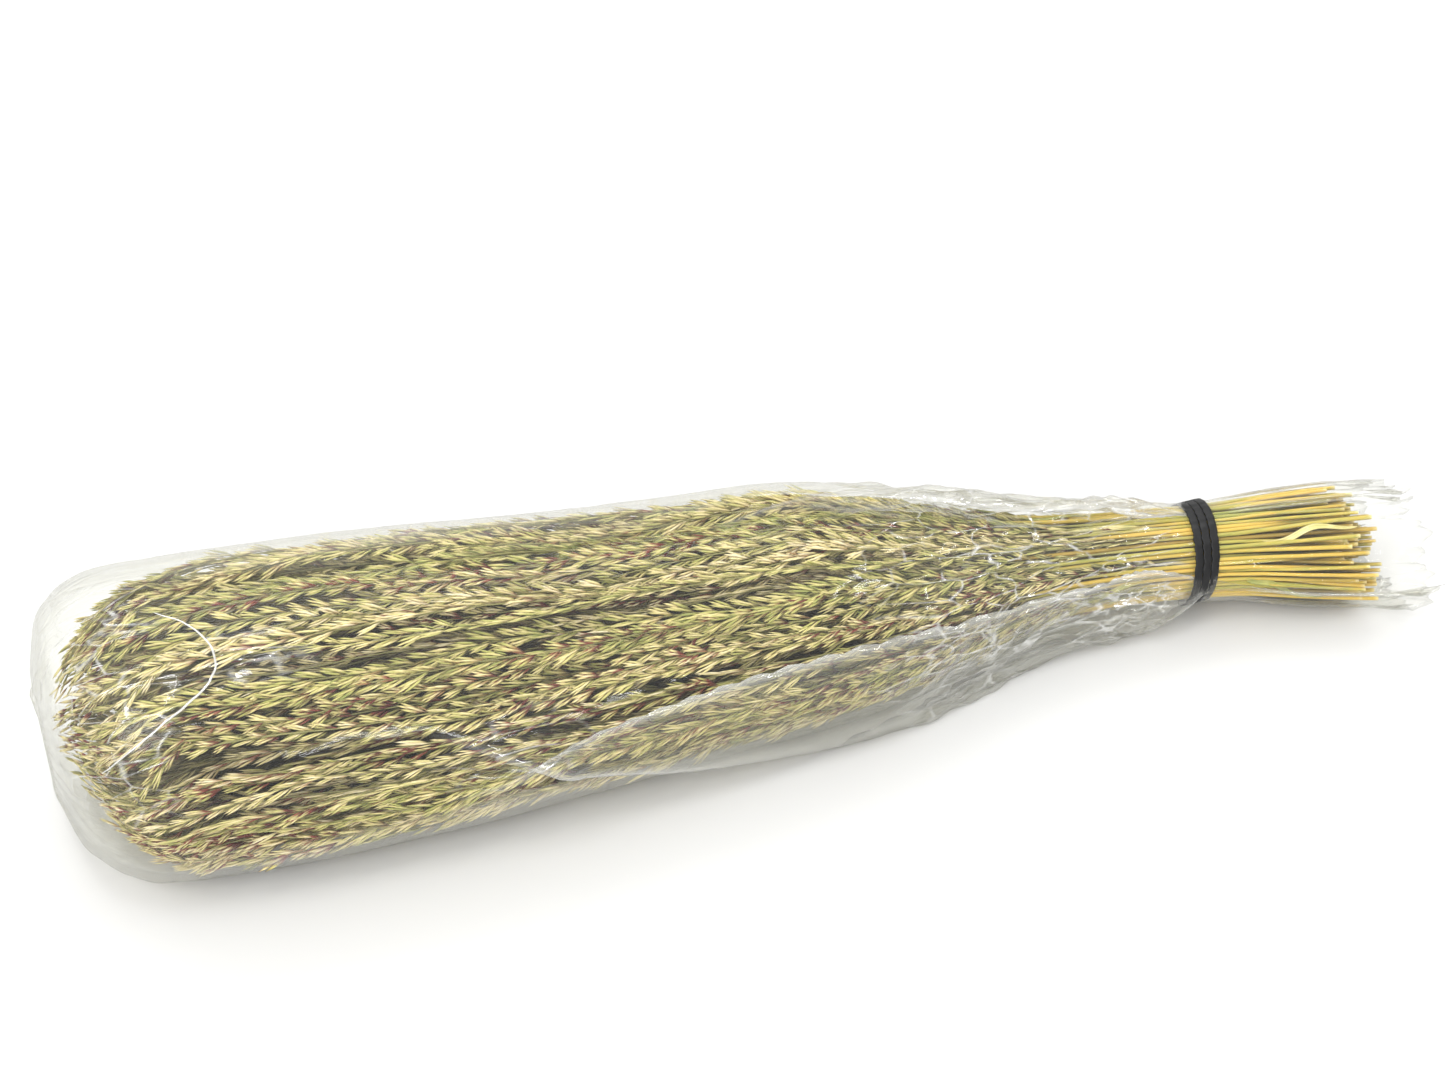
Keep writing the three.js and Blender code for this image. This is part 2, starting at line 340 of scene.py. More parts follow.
def dried_chaff():
    """Dried husks of the seed heads: matt and papery, straw to grey-green, with ribs and
    a red-brown blush at their bases and tips."""
    material, output = new_material("dried_chaff")
    tree = material.node_tree
    tone, husk_tone, across, reach, glume, blush, ripe = (
        node(tree, "ShaderNodeAttribute", attribute_name=name).outputs["Fac"]
        for name in ("tone", "husk_tone", "across", "reach", "glume", "blush", "ripe")
    )
    place = node(tree, "ShaderNodeTexCoord").outputs["Object"]
    mottle = node(tree, "ShaderNodeTexNoise", {"Vector": place, "Scale": 90, "Detail": 3}).outputs["Fac"]
    tone = node(tree, "ShaderNodeMath", {0: tone, 1: mottle}, operation="ADD")
    tone = node(tree, "ShaderNodeMath", {0: tone.outputs[0], 1: husk_tone}, operation="ADD")
    tone = node(tree, "ShaderNodeMath", {0: tone.outputs[0], 1: -0.5}, operation="ADD").outputs[0]
    straw = node(tree, "ShaderNodeValToRGB", {0: tone}, stops=(
        (0.0, "#8F9754"), (0.25, "#BCBA6C"), (0.5, "#E0D490"), (0.75, "#F2E2AA"), (1.0, "#FAEEC8"),
    )).outputs["Color"]
    # Ribs run along each husk, about 0.5 mm apart.
    ribs = node(tree, "ShaderNodeMath", {0: across, 1: 9.0}, operation="MULTIPLY")
    ribs = node(tree, "ShaderNodeMath", {0: ribs.outputs[0]}, operation="COSINE").outputs[0]
    rib_shade = node(tree, "ShaderNodeMapRange", {0: ribs, 1: -1.0, 2: 1.0, 3: 0.82, 4: 1.06}).outputs[0]
    streaked = node(tree, "ShaderNodeVectorMath", {0: straw, "Scale": rib_shade}, operation="SCALE")
    # The blush sits at the base and, more weakly, at the tip.
    base = node(tree, "ShaderNodeMapRange", {
        0: reach, 1: 0.66, 2: 0.08, 3: 0.0, 4: 1.0,
    }, interpolation_type="SMOOTHSTEP").outputs[0]
    tip = node(tree, "ShaderNodeMapRange", {0: reach, 1: 0.72, 2: 1.0, 3: 0.0, 4: 0.55}).outputs[0]
    ends = node(tree, "ShaderNodeMath", {0: base, 1: tip}, operation="MAXIMUM").outputs[0]
    ends = node(tree, "ShaderNodeMath", {0: ends, 1: glume}, operation="MAXIMUM").outputs[0]
    blush = node(tree, "ShaderNodeMath", {0: blush, 1: ends}, operation="MULTIPLY").outputs[0]
    patchy = node(tree, "ShaderNodeTexNoise", {"Vector": place, "Scale": 17, "Detail": 1}).outputs["Fac"]
    patchy = node(tree, "ShaderNodeMapRange", {0: patchy, 1: 0.35, 2: 0.65, 3: 0.55, 4: 1.7}).outputs[0]
    blush = node(tree, "ShaderNodeMath", {0: blush, 1: patchy}, operation="MULTIPLY").outputs[0]
    blush = node(tree, "ShaderNodeMath", {0: blush, 1: ripe}, operation="MULTIPLY").outputs[0]
    rust = node(tree, "ShaderNodeValToRGB", {0: mottle}, stops=(
        (0.35, "#582B2A"), (0.6, "#8C4A3E"), (0.8, "#B27C59"),
    )).outputs["Color"]
    colour = node(tree, "ShaderNodeMix", {
        0: blush, 6: streaked.outputs[0], 7: rust,
    }, data_type="RGBA").outputs[2]
    # Painted shade: darker the deeper the husk lies in the bundle.
    colour = painted_depth_shade(tree, colour)
    relief = node(tree, "ShaderNodeBump", {"Strength": 0.35, "Distance": 0.2 * MM, "Height": ribs})
    shader = node(tree, "ShaderNodeBsdfPrincipled", {
        "Base Color": colour, "Roughness": 0.68, "IOR": 1.45, "Specular IOR Level": 0.35,
        "Normal": relief.outputs["Normal"],
    })
    tree.links.new(shader.outputs[0], output.inputs["Surface"])
    return material


def dried_straw():
    """Bare stems of dried grass: smooth, slightly glossy straw, gold to green, paler at
    the cut and greener inside the heads."""
    material, output = new_material("dried_straw")
    tree = material.node_tree
    own_tone, from_cut, in_head = (
        node(tree, "ShaderNodeAttribute", attribute_name=name).outputs["Fac"]
        for name in ("tone", "from_cut", "in_head")
    )
    place = node(tree, "ShaderNodeTexCoord").outputs["Object"]
    stretched = node(tree, "ShaderNodeMapping", {"Vector": place, "Scale": (9, 700, 700)}).outputs[0]
    streaks = node(tree, "ShaderNodeTexNoise", {"Vector": stretched, "Scale": 1, "Detail": 3}).outputs["Fac"]
    patches = node(tree, "ShaderNodeTexNoise", {"Vector": place, "Scale": 22, "Detail": 2}).outputs["Fac"]
    tone = node(tree, "ShaderNodeMath", {0: streaks, 1: patches}, operation="ADD")
    tone = node(tree, "ShaderNodeMath", {0: tone.outputs[0], 1: -1.0}, operation="ADD")
    tone = node(tree, "ShaderNodeMath", {0: tone.outputs[0], 1: 0.75}, operation="MULTIPLY")
    tone = node(tree, "ShaderNodeMath", {0: tone.outputs[0], 1: own_tone}, operation="ADD").outputs[0]
    straw = node(tree, "ShaderNodeValToRGB", {0: tone}, stops=(
        (0.0, "#8F9340"), (0.3, "#B6A94A"), (0.5, "#CDB04B"), (0.75, "#D9B44D"), (1.0, "#EACF7C"),
    )).outputs["Color"]
    # The last 2 mm before the cut are bleached.
    cut = node(tree, "ShaderNodeMapRange", {
        0: from_cut, 1: 2.5 * MM, 2: 0.2 * MM, 3: 0.0, 4: 0.7,
    }).outputs[0]
    colour = straw
    for share, tint in ((cut, "#EBDDA6"), (in_head, "#8E8A55")):
        colour = node(tree, "ShaderNodeMix", {
            0: share, 6: colour, 7: linear(tint),
        }, data_type="RGBA").outputs[2]
    # Painted shade: darker the deeper the stem lies in the bundle.
    colour = painted_depth_shade(tree, colour)
    relief = node(tree, "ShaderNodeBump", {"Strength": 0.3, "Distance": 0.15 * MM, "Height": streaks})
    shader = node(tree, "ShaderNodeBsdfPrincipled", {
        "Base Color": colour, "Roughness": 0.42, "IOR": 1.45, "Specular IOR Level": 0.5,
        "Normal": relief.outputs["Normal"],
    })
    tree.links.new(shader.outputs[0], output.inputs["Surface"])
    return material


CHAFF = dried_chaff()
STRAW = dried_straw()

# ---- Spikelets: the husks that a head is braided from -----------------------------------
HUSK_RING = 4  # corners round a husk
HUSK_STEPS = ((0.0, 0.0), (0.3, 0.9), (0.68, 0.75), (1.0, 0.0))  # (share of length, of width)
# A husk's section, as shares of its width: (out, sideways, mark across).
HUSK_SECTION = ((0.6, 0.0, 0.0), (0.0, 0.44, 1.0), (-0.3, 0.0, 0.0), (0.0, -0.44, -1.0))
HUSK_DEPTH = 0.62
HUSK_CLOSING = 0.35  # share of its lift that a husk gives back at its tip
HUSK_STRAIGHTENING = 0.25  # share of its lean
HUSK_FOOT = 0.5 * MM  # how far out of the head's middle plane a husk starts


def add_husk(vertices, faces, marks, base, length, width, lean, lift):
    """One keeled husk, pointed at both ends. It grows along Z from its base, leans
    sideways in Y and lifts off the face of the head in X."""
    start = len(vertices)
    for share, breadth in HUSK_STEPS:
        along = share * length
        middle = Vector(base) + Vector((
            lift * along - HUSK_CLOSING * lift * along * share,
            math.sin(lean) * along * (1 - HUSK_STRAIGHTENING * share),
            math.cos(lean) * along,
        ))
        corners = HUSK_SECTION if breadth else ((0.0, 0.0, 0.0),)
        for out, side, across in corners:
            vertices.append(middle + Vector((HUSK_DEPTH * out, side, 0)) * (width * breadth))
            marks.append((share, across))
    first, second, last = start + 1, start + 1 + HUSK_RING, start + 1 + 2 * HUSK_RING
    for i in range(HUSK_RING):
        j = (i + 1) % HUSK_RING
        faces.append((start, first + j, first + i))
        faces.append((first + i, first + j, second + j, second + i))
        faces.append((second + i, second + j, last))


def spikelet(name, husks, hand):
    """A spikelet object from its husks: (along, sideways, length, width, lean, lift, glume).
    The hand is 1 or -1: the side of the head that it grows on."""
    vertices, faces, marks = [], [], []
    for index, (along, sideways, length, width, lean, lift, glume) in enumerate(husks):
        base = (HUSK_FOOT, sideways * MM, along * MM)
        start = len(vertices)
        add_husk(vertices, faces, marks, base, length * MM, width * MM, math.radians(lean), lift)
        tone = 0.22 * math.sin(2.6 * index + 1)
        marks[start:] = [(reach, across, glume, tone) for reach, across in marks[start:]]
    if hand < 0:
        vertices = [Vector((v.x, -v.y, v.z)) for v in vertices]
        faces = [tuple(reversed(face)) for face in faces]
    made = mesh_object(name, vertices, faces)
    for column, mark in enumerate(("reach", "across", "glume", "husk_tone")):
        paint(made, mark, [m[column] for m in marks])
    made.data.materials.append(CHAFF)
    return made


# (along, sideways, length, width, lean, lift, glume): mm, the lean in degrees, the lift as
# a slope. A glume is the small scale at the foot of a spikelet, which dries red-brown.
FULL_SPIKELETS = [
    [(0.0, 0.5, 12.5, 1.75, 4, 0.10, 0), (2.4, 0.0, 11.4, 1.7, -6, 0.15, 0),
     (3.6, 1.1, 10.8, 1.6, 9, 0.02, 0), (6.4, 0.6, 9.0, 1.45, 1, 0.12, 0),
     (-1.0, 1.1, 7.8, 1.1, 12, 0.28, 1)],
    [(0.0, 0.3, 13.4, 1.65, 1, 0.06, 0), (2.0, 0.9, 11.4, 1.75, 11, 0.14, 0),
     (4.2, 0.2, 10.8, 1.55, -5, 0.05, 0), (6.8, 0.9, 8.8, 1.45, 5, 0.10, 0),
     (-0.6, -0.2, 8.2, 1.0, -5, 0.32, 1)],
    [(0.0, 0.6, 11.8, 1.85, 8, 0.12, 0), (2.6, 0.0, 11.0, 1.6, -4, 0.02, 0),
     (4.6, 1.0, 10.2, 1.6, 3, 0.16, 0), (7.0, 0.6, 8.4, 1.35, -6, 0.08, 0),
     (-0.8, 0.7, 7.2, 1.15, 4, 0.34, 1)],
]
PLAIN_SPIKELETS = [
    [(0.0, 0.5, 12.0, 2.7, 6, 0.10, 0), (4.0, 0.6, 10.0, 2.5, 0, 0.05, 0.3)],
    [(0.0, 0.5, 13.0, 2.5, 2, 0.05, 0), (4.4, 0.7, 9.6, 2.6, 8, 0.12, 0.2)],
]
COARSE_SPIKELETS = [[(0.0, 0.6, 13.0, 3.2, 4, 0.05, 0)]]


def spikelet_set(name, recipes):
    """A collection of spikelets for the growing tree, kept out of the scene itself: each
    recipe makes one for either side of the head, next to each other in the order of names."""
    kept = bpy.data.collections.new(name)
    for index, husks in enumerate(recipes):
        for side, hand in (("a", 1), ("b", -1)):
            made = spikelet(f"{name}_{index}{side}", husks, hand)
            bpy.context.scene.collection.objects.unlink(made)
            kept.objects.link(made)
    return kept


SPIKELETS = {
    "full": spikelet_set("full_spikelets", FULL_SPIKELETS),
    "plain": spikelet_set("plain_spikelets", PLAIN_SPIKELETS),
    "coarse": spikelet_set("coarse_spikelets", COARSE_SPIKELETS),
}

# ---- The growing tree: stalks from centre lines ------------------------------------------


# What differs by chance from spikelet to spikelet: (name, lowest, highest, salt of its seed).
CHANCES = (
    ("twist", -0.65, 0.65, 11), ("splay", 0.45, 1.5, 23), ("nod", -0.13, 0.16, 37),
    ("size", 0.8, 1.12, 41), ("blush", -0.15, 1.35, 67),
)
RECIPE_SALT = 53


def growing_tree():
    """Turns centre lines, which run from the tips to the cut ends, into stems with heads."""
    tree = bpy.data.node_groups.new("grow_stalks", "GeometryNodeTree")
    face = tree.interface
    face.new_socket("Geometry", in_out="INPUT", socket_type="NodeSocketGeometry")
    for name, kind, value in (
        ("Spikelets", "NodeSocketCollection", None),
        ("Spikelet spacing", "NodeSocketFloat", 5.0 * MM),
        ("Splay", "NodeSocketFloat", math.radians(14)),
        ("Stem sides", "NodeSocketInt", 7),
        ("Seed", "NodeSocketInt", 0),
    ):
        socket = face.new_socket(name, in_out="INPUT", socket_type=kind)
        if value is not None:
            socket.default_value = value
    face.new_socket("Geometry", in_out="OUTPUT", socket_type="NodeSocketGeometry")
    given = node(tree, "NodeGroupInput").outputs
    lines = node(tree, "GeometryNodeMeshToCurve", {"Mesh": given["Geometry"]}).outputs[0]
    stem_radius, head_length, head_scale, facing = (
        node(tree, "GeometryNodeInputNamedAttribute", {"Name": name}, data_type=kind).outputs["Attribute"]
        for name, kind in (
            ("stem_radius", "FLOAT"), ("head_length", "FLOAT"), ("head_scale", "FLOAT"),
            ("facing", "FLOAT_VECTOR"),
        )
    )
    chance = {}
    for name, low, high, salt in CHANCES:
        seed = node(tree, "FunctionNodeIntegerMath", {0: given["Seed"], 1: salt}, operation="ADD")
        chance[name] = node(tree, "FunctionNodeRandomValue", {
            2: low, 3: high, "Seed": seed.outputs[0],
        }, data_type="FLOAT").outputs[1]

    # Stems: a round profile along the line, as thick as the line says.
    profile = node(tree, "GeometryNodeCurvePrimitiveCircle", {
        "Resolution": given["Stem sides"], "Radius": 1.0,
    }).outputs[0]
    stems = node(tree, "GeometryNodeCurveToMesh", {
        "Curve": lines, "Profile Curve": profile, "Scale": stem_radius, "Fill Caps": True,
    }).outputs[0]
    stems = node(tree, "GeometryNodeSetMaterial", {"Geometry": stems, "Material": STRAW}).outputs[0]

    # Heads: one spikelet at every step along the first part of the line.
    bent = node(tree, "GeometryNodeCurveSplineType", {"Curve": lines}, spline_type="CATMULL_ROM")
    head = node(tree, "GeometryNodeTrimCurve", {
        "Curve": bent.outputs[0], 4: 0.0, 5: head_length,
    }, mode="LENGTH").outputs[0]
    steps = node(tree, "GeometryNodeResampleCurve", {
        "Curve": head, "Length": given["Spikelet spacing"],
    }, mode="LENGTH").outputs[0]
    place = node(tree, "GeometryNodeSplineParameter").outputs
    tangent = node(tree, "GeometryNodeInputTangent").outputs[0]
    to_tip = node(tree, "ShaderNodeVectorMath", {0: tangent, "Scale": -1.0}, operation="SCALE").outputs[0]
    stand = node(tree, "FunctionNodeAxesToRotation", {
        0: to_tip, 1: facing,
    }, primary_axis="Z", secondary_axis="X").outputs[0]
    # Spikelets grow on the two sides of the head in turn.
    side = node(tree, "ShaderNodeMath", {0: place["Index"], 1: 2.0}, operation="MODULO").outputs[0]
    hand = node(tree, "ShaderNodeMath", {0: side, 1: 2.0, 2: -1.0}, operation="MULTIPLY_ADD").outputs[0]

    turned = node(tree, "ShaderNodeCombineXYZ", {2: chance["twist"]}).outputs[0]
    turned = node(tree, "FunctionNodeEulerToRotation", {0: turned}).outputs[0]
    stand = node(tree, "FunctionNodeRotateRotation", {0: stand, 1: turned}, rotation_space="LOCAL")
    splay = node(tree, "ShaderNodeMath", {
        0: given["Splay"], 1: chance["splay"],
    }, operation="MULTIPLY").outputs[0]
    splay = node(tree, "ShaderNodeMath", {0: splay, 1: hand}, operation="MULTIPLY").outputs[0]
    lean = node(tree, "ShaderNodeCombineXYZ", {0: splay, 1: chance["nod"]}).outputs[0]
    lean = node(tree, "FunctionNodeEulerToRotation", {0: lean}).outputs[0]
    stand = node(tree, "FunctionNodeRotateRotation", {
        0: stand.outputs[0], 1: lean,
    }, rotation_space="LOCAL").outputs[0]
    # Spikelets are small at the tip and a little smaller again at the foot of the head.
    down = place["Factor"]
    from_tip = node(tree, "ShaderNodeMapRange", {0: down, 1: 0.0, 2: 0.10, 3: 0.7, 4: 1.0}).outputs[0]
    from_foot = node(tree, "ShaderNodeMapRange", {0: down, 1: 1.0, 2: 0.88, 3: 0.5, 4: 1.0}).outputs[0]
    size = node(tree, "ShaderNodeMath", {0: from_tip, 1: from_foot}, operation="MULTIPLY").outputs[0]
    size = node(tree, "ShaderNodeMath", {0: size, 1: chance["size"]}, operation="MULTIPLY").outputs[0]
    size = node(tree, "ShaderNodeMath", {0: size, 1: head_scale}, operation="MULTIPLY").outputs[0]
    kinds = node(tree, "GeometryNodeCollectionInfo", {0: given["Spikelets"], 1: True, 2: True}).outputs[0]
    pick_seed = node(tree, "FunctionNodeIntegerMath", {
        0: given["Seed"], 1: RECIPE_SALT,
    }, operation="ADD").outputs[0]
    pick = node(tree, "FunctionNodeRandomValue", {4: 0, 5: 100, "Seed": pick_seed}, data_type="INT")
    # Twice any number picks the recipe, and the side adds which of its two hands is used.
    pick = node(tree, "ShaderNodeMath", {
        0: pick.outputs[2], 1: 2.0, 2: side,
    }, operation="MULTIPLY_ADD").outputs[0]
    grown = node(tree, "GeometryNodeInstanceOnPoints", {
        "Points": steps, "Instance": kinds, "Pick Instance": True, "Instance Index": pick,
        "Rotation": stand, "Scale": size,
    }).outputs[0]
    grown = node(tree, "GeometryNodeStoreNamedAttribute", {
        "Geometry": grown, "Name": "blush", "Value": chance["blush"],
    }, data_type="FLOAT", domain="INSTANCE").outputs[0]
    grown = node(tree, "GeometryNodeRealizeInstances", {0: grown}).outputs[0]
    grown = node(tree, "GeometryNodeSetMaterial", {"Geometry": grown, "Material": CHAFF}).outputs[0]
    both = node(tree, "GeometryNodeJoinGeometry")
    tree.links.new(stems, both.inputs[0])
    tree.links.new(grown, both.inputs[0])
    node(tree, "NodeGroupOutput", {0: both.outputs[0]})
    return tree


def run_tree(made, tree, values):
    """Applies a geometry tree: its result becomes the object's own plain, smooth mesh."""
    modifier = made.modifiers.new("tree", "NODES")
    modifier.node_group = tree
    for item in tree.interface.items_tree:
        if item.item_type == "SOCKET" and item.in_out == "INPUT" and item.name in values:
            modifier[item.identifier] = values[item.name]
    bpy.context.view_layer.update()
    depsgraph = bpy.context.evaluated_depsgraph_get()
    mesh = bpy.data.meshes.new_from_object(made.evaluated_get(depsgraph), depsgraph=depsgraph)
    made.modifiers.remove(modifier)
    old = made.data
    made.data = mesh
    mesh.name = made.name
    bpy.data.meshes.remove(old)
    mesh.polygons.foreach_set("use_smooth", [True] * len(mesh.polygons))


# ---- Stalks ---------------------------------------------------------------------------
# How a ring's heads are grown: (kind of spikelet, spacing in mm, sides of a stem).
RINGS = {
    "core": ("coarse", 7.0, 5),
    "inner": ("coarse", 7.0, 5),
    "middle": ("plain", 5.8, 5),
    "outer": ("full", 5.0, 7),
}
STEM_SPACING = 2.05 * MM  # between stems where the band pulls them together
STEM_PACKING = 0.9  # share of a square of that spacing which one stem takes up
LEAST_STALKS = 6
HEAD_FOOT = (0.445, 0.545)  # distance from the tips of the bundle to the foot of a head
LONGEST_HEAD = 0.535
RACHIS_RADIUS = 0.38 * MM  # the stem inside a head
STEM_RADIUS = (0.82 * MM, 1.12 * MM)
LINE_POINTS = 44
LINE_CROWDING = 1.3  # puts more of a line's points near its tip
LATE_SHARE = 0.42  # of the stalks, which end well short of the tips
LATE, EARLY = (15, 170), (0, 16)  # mm from the tips
UNEVEN_CUT, UNEVEN_SHARE = 13, 0.8  # mm, and the share of the stalks it goes for
WANDER = ((1.7, 0.21), (0.9, 0.083))  # (size in mm, wave length in m)
FAN_SPREAD = 2.5 * MM
DOME = (0.005, 0.075)  # from the tips: where the heads bend, fully and no longer
DOME_LENGTH = (66 * MM, 60 * MM)  # over which the heads' end rounds off, and more at the back
DOME_BACK, DOME_BACK_WIDTH = math.radians(62), math.radians(48)
DOME_POWER = 2.3  # 2 rounds the end off as an ellipse
DOME_CLOSING = 0.7  # how far the tips close in over the end
DOME_SPREAD, DOME_SCATTER = 0.30, 4.0 * MM
CURL, CURL_SPREAD = 0.42, 0.17  # radians round the bundle
TIP_ROOM = 2.5 * MM  # the last spikelet reaches this far past the end of its stem
HEAD_ROOM = 5.5 * MM  # between a head's centre line and the film
STEM_ROOM = 2.2 * MM  # between a bare stem's and the film
TABLE_ROOM = 3.6 * MM  # more of it between a head's and the table
GROW = growing_tree()


def scatter(count, radii, rng):
    """Places spread evenly in an outline: (angle, share of the way out)."""
    tries = 60
    chosen = []
    for _ in range(count):
        angle = rng.uniform(0, 2 * math.pi, tries)
        share = np.sqrt(rng.uniform(0, 0.93, tries))
        reach = np.interp(angle, ANGLES, radii, period=2 * math.pi) * share
        spots = np.column_stack([reach * np.cos(angle), reach * np.sin(angle)])
        room = np.ones(tries)
        if chosen:
            taken = np.array([c[2] for c in chosen])
            room = np.linalg.norm(spots[:, None] - taken[None], axis=2).min(1)
        best = int(np.argmax(room))
        chosen.append((angle[best], share[best], spots[best]))
    return [(c[0], c[1]) for c in chosen]


def loose_line(wisp, angle, share, rng):
    """A stalk's centre line as it runs through its wisp: places along X, and Y and Z."""
    is_late = rng.random() < LATE_SHARE
    tip = wisp.x[0] + rng.uniform(*(LATE if is_late else EARLY)) * MM + TIP_ROOM
    cut = wisp.x[-1] - rng.uniform(0, UNEVEN_CUT) * MM * (rng.random() < UNEVEN_SHARE) + 1.0 * MM
    x = tip + (cut - tip) * np.linspace(0, 1, LINE_POINTS) ** LINE_CROWDING
    radius = wisp.reach_at(x, np.full(LINE_POINTS, angle)) * share
    line = wisp.middle_at(x) + np.column_stack([np.cos(angle) * radius, np.sin(angle) * radius])
    # Stalks wander a little between the heads, and are held at the band.
    loose = 1 - smooth(x, BAND_X - 0.20, BAND_X - 0.03)
    for axis in (0, 1):
        for reach, wave in WANDER:
            phase, size = rng.uniform(0, 2 * math.pi), rng.normal(0, reach * MM)
            line[:, axis] += size * loose * np.sin(2 * math.pi * x / wave + phase)
    # Past the band the stems fan out and cross one another a little.
    before = smooth(x, BAND_X - 0.01, BAND_X - 0.12) * (1 - smooth(x, 0, BAND_X))
    fan = smooth(x, BAND_X + 0.005, CUT_X) + 0.35 * before
    line += rng.normal(0, FAN_SPREAD, 2) * fan[:, None]
    return x, line, loose


def round_end(x, direction):
    """How far the heads' rounded end lets a stalk out, as a share of the film's reach."""
    back = np.exp(-(((direction - DOME_BACK) / DOME_BACK_WIDTH) ** 2))
    round_off = DOME_LENGTH[0] + DOME_LENGTH[1] * back
    from_end = np.clip((x - TIP_X + 1 * MM) / round_off, 0, 1)
    return (1 - (1 - from_end) ** DOME_POWER) ** (1 / DOME_POWER)


def stalk_line(wisp, angle, share, rng, is_outer):
    """One stalk's centre line, from its tip to its cut, and what the tree reads on it."""
    x, line, loose = loose_line(wisp, angle, share, rng)
    heart = sleeve.middle_at(x)
    # At the closed end the heads spread and curl round, and then close in over the end.
    dome = 1 - smooth(x, TIP_X + DOME[0], TIP_X + DOME[1])
    offset = (line - heart) * (1 + DOME_SPREAD * dome)[:, None]
    offset += rng.normal(0, DOME_SCATTER, 2) * (dome**1.5)[:, None]
    curl = (CURL + rng.normal(0, CURL_SPREAD)) * dome**1.6
    offset = np.column_stack([
        offset[:, 0] * np.cos(curl) - offset[:, 1] * np.sin(curl),
        offset[:, 0] * np.sin(curl) + offset[:, 1] * np.cos(curl),
    ])
    out = np.hypot(offset[:, 0], offset[:, 1])
    direction = np.arctan2(offset[:, 1], offset[:, 0])
    limit = sleeve.reach_at(x, direction) - HEAD_ROOM * loose - STEM_ROOM * (1 - loose)
    share_out = out / np.maximum(limit, 1e-6)
    # Painted shade: the further in from the film a stalk runs, the darker its colour is drawn.
    skin_deep = smooth(share_out, 0.72, 0.975) * loose + smooth(share_out, 0.86, 0.965) * (1 - loose)
    rounded = round_end(x, direction)
    limit = limit * np.maximum(rounded, 0.05)
    closing = 1 - DOME_CLOSING * (1 - rounded)
    offset *= closing[:, None]
    out *= closing
    line = heart + offset * np.minimum(1, limit / np.maximum(out, 1e-6))[:, None]
    on_table = (HEAD_ROOM + TABLE_ROOM) * (1 - smooth(x, at(528), at(552)))
    line[:, 1] = np.maximum(line[:, 1], on_table)
    points = np.column_stack([x, line])
    # The flat of a head faces out of the bundle, and at the closed end towards its end.
    facing = np.column_stack([np.minimum(x - (TIP_X + 0.085), 0), line - heart])
    facing /= np.linalg.norm(facing, axis=1)[:, None] + 1e-9
    roll = rng.normal(0, 0.75) if is_outer else rng.uniform(-math.pi, math.pi)
    turn = roll + rng.normal(0, 0.25) * np.sin(2 * math.pi * x / 0.25 + rng.uniform(0, 6))
    c, s = np.cos(turn), np.sin(turn)
    facing = np.column_stack([
        facing[:, 0], c * facing[:, 1] - s * facing[:, 2], s * facing[:, 1] + c * facing[:, 2],
    ])
    head = min(TIP_X + rng.uniform(*HEAD_FOOT) - x[0], LONGEST_HEAD * rng.uniform(0.9, 1.0))
    from_tip = np.concatenate([[0], np.cumsum(np.linalg.norm(np.diff(points, axis=0), axis=1))])
    bare = smooth(from_tip, head - 0.004, head + 0.03)
    stem = rng.uniform(*STEM_RADIUS)
    from_cut = from_tip[-1] - from_tip
    # Tips and cuts lie open to the light, however deep in the bundle the stalk runs,
    # so the painted shade spares them.
    open_to_light = np.maximum(0.9 * dome, 0.8 * (1 - smooth(from_cut, 2 * MM, 12 * MM)))
    marks = {
        "stem_radius": RACHIS_RADIUS + (stem - RACHIS_RADIUS) * bare,
        "head_length": np.full(LINE_POINTS, head),
        "head_scale": np.full(LINE_POINTS, rng.uniform(0.84, 1.08)),
        "tone": np.full(LINE_POINTS, 0.20 + 0.60 * rng.beta(2.0, 2.0)),
        "ripe": np.full(LINE_POINTS, rng.uniform(0.25, 1.5)),
        "in_head": 1 - bare,
        "near_skin": np.maximum(open_to_light, skin_deep),
        "from_cut": from_cut,
        "facing": facing,
    }
    return points, marks


def grow_wisp(name, index):
    """All the stalks of one wisp of the model, as one piece."""
    rng = np.random.default_rng(SEED * 1000 + index)
    ring = name.split("_")[1]
    kind, spacing, stem_sides = RINGS[ring]
    wisp = Sections(name)
    narrow = wisp.reach[np.argmin(np.abs(wisp.x - BAND_X))]
    area = 0.5 * np.sum(narrow * np.roll(narrow, -1)) * math.sin(2 * math.pi / AROUND)
    count = max(LEAST_STALKS, round(area / (STEM_PACKING * STEM_SPACING**2)))
    points, edges, marks = [], [], {}
    for angle, share in scatter(count, narrow, rng):
        line, read = stalk_line(wisp, angle, share, rng, ring == "outer")
        start = len(points)
        points.extend(line)
        edges.extend((start + k, start + k + 1) for k in range(LINE_POINTS - 1))
        for key, values in read.items():
            marks.setdefault(key, []).append(values)
    made = mesh_object(name.replace("stalks", "grown_stalks"), points, [], edges)
    for key, values in marks.items():
        paint(made, key, np.concatenate(values), "FLOAT_VECTOR" if key == "facing" else "FLOAT")
    run_tree(made, GROW, {
        "Spikelets": SPIKELETS[kind],
        "Spikelet spacing": spacing * MM,
        "Stem sides": stem_sides,
        "Seed": index * 101,
    })
    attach(made, "root")
    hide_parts(name)
    return count


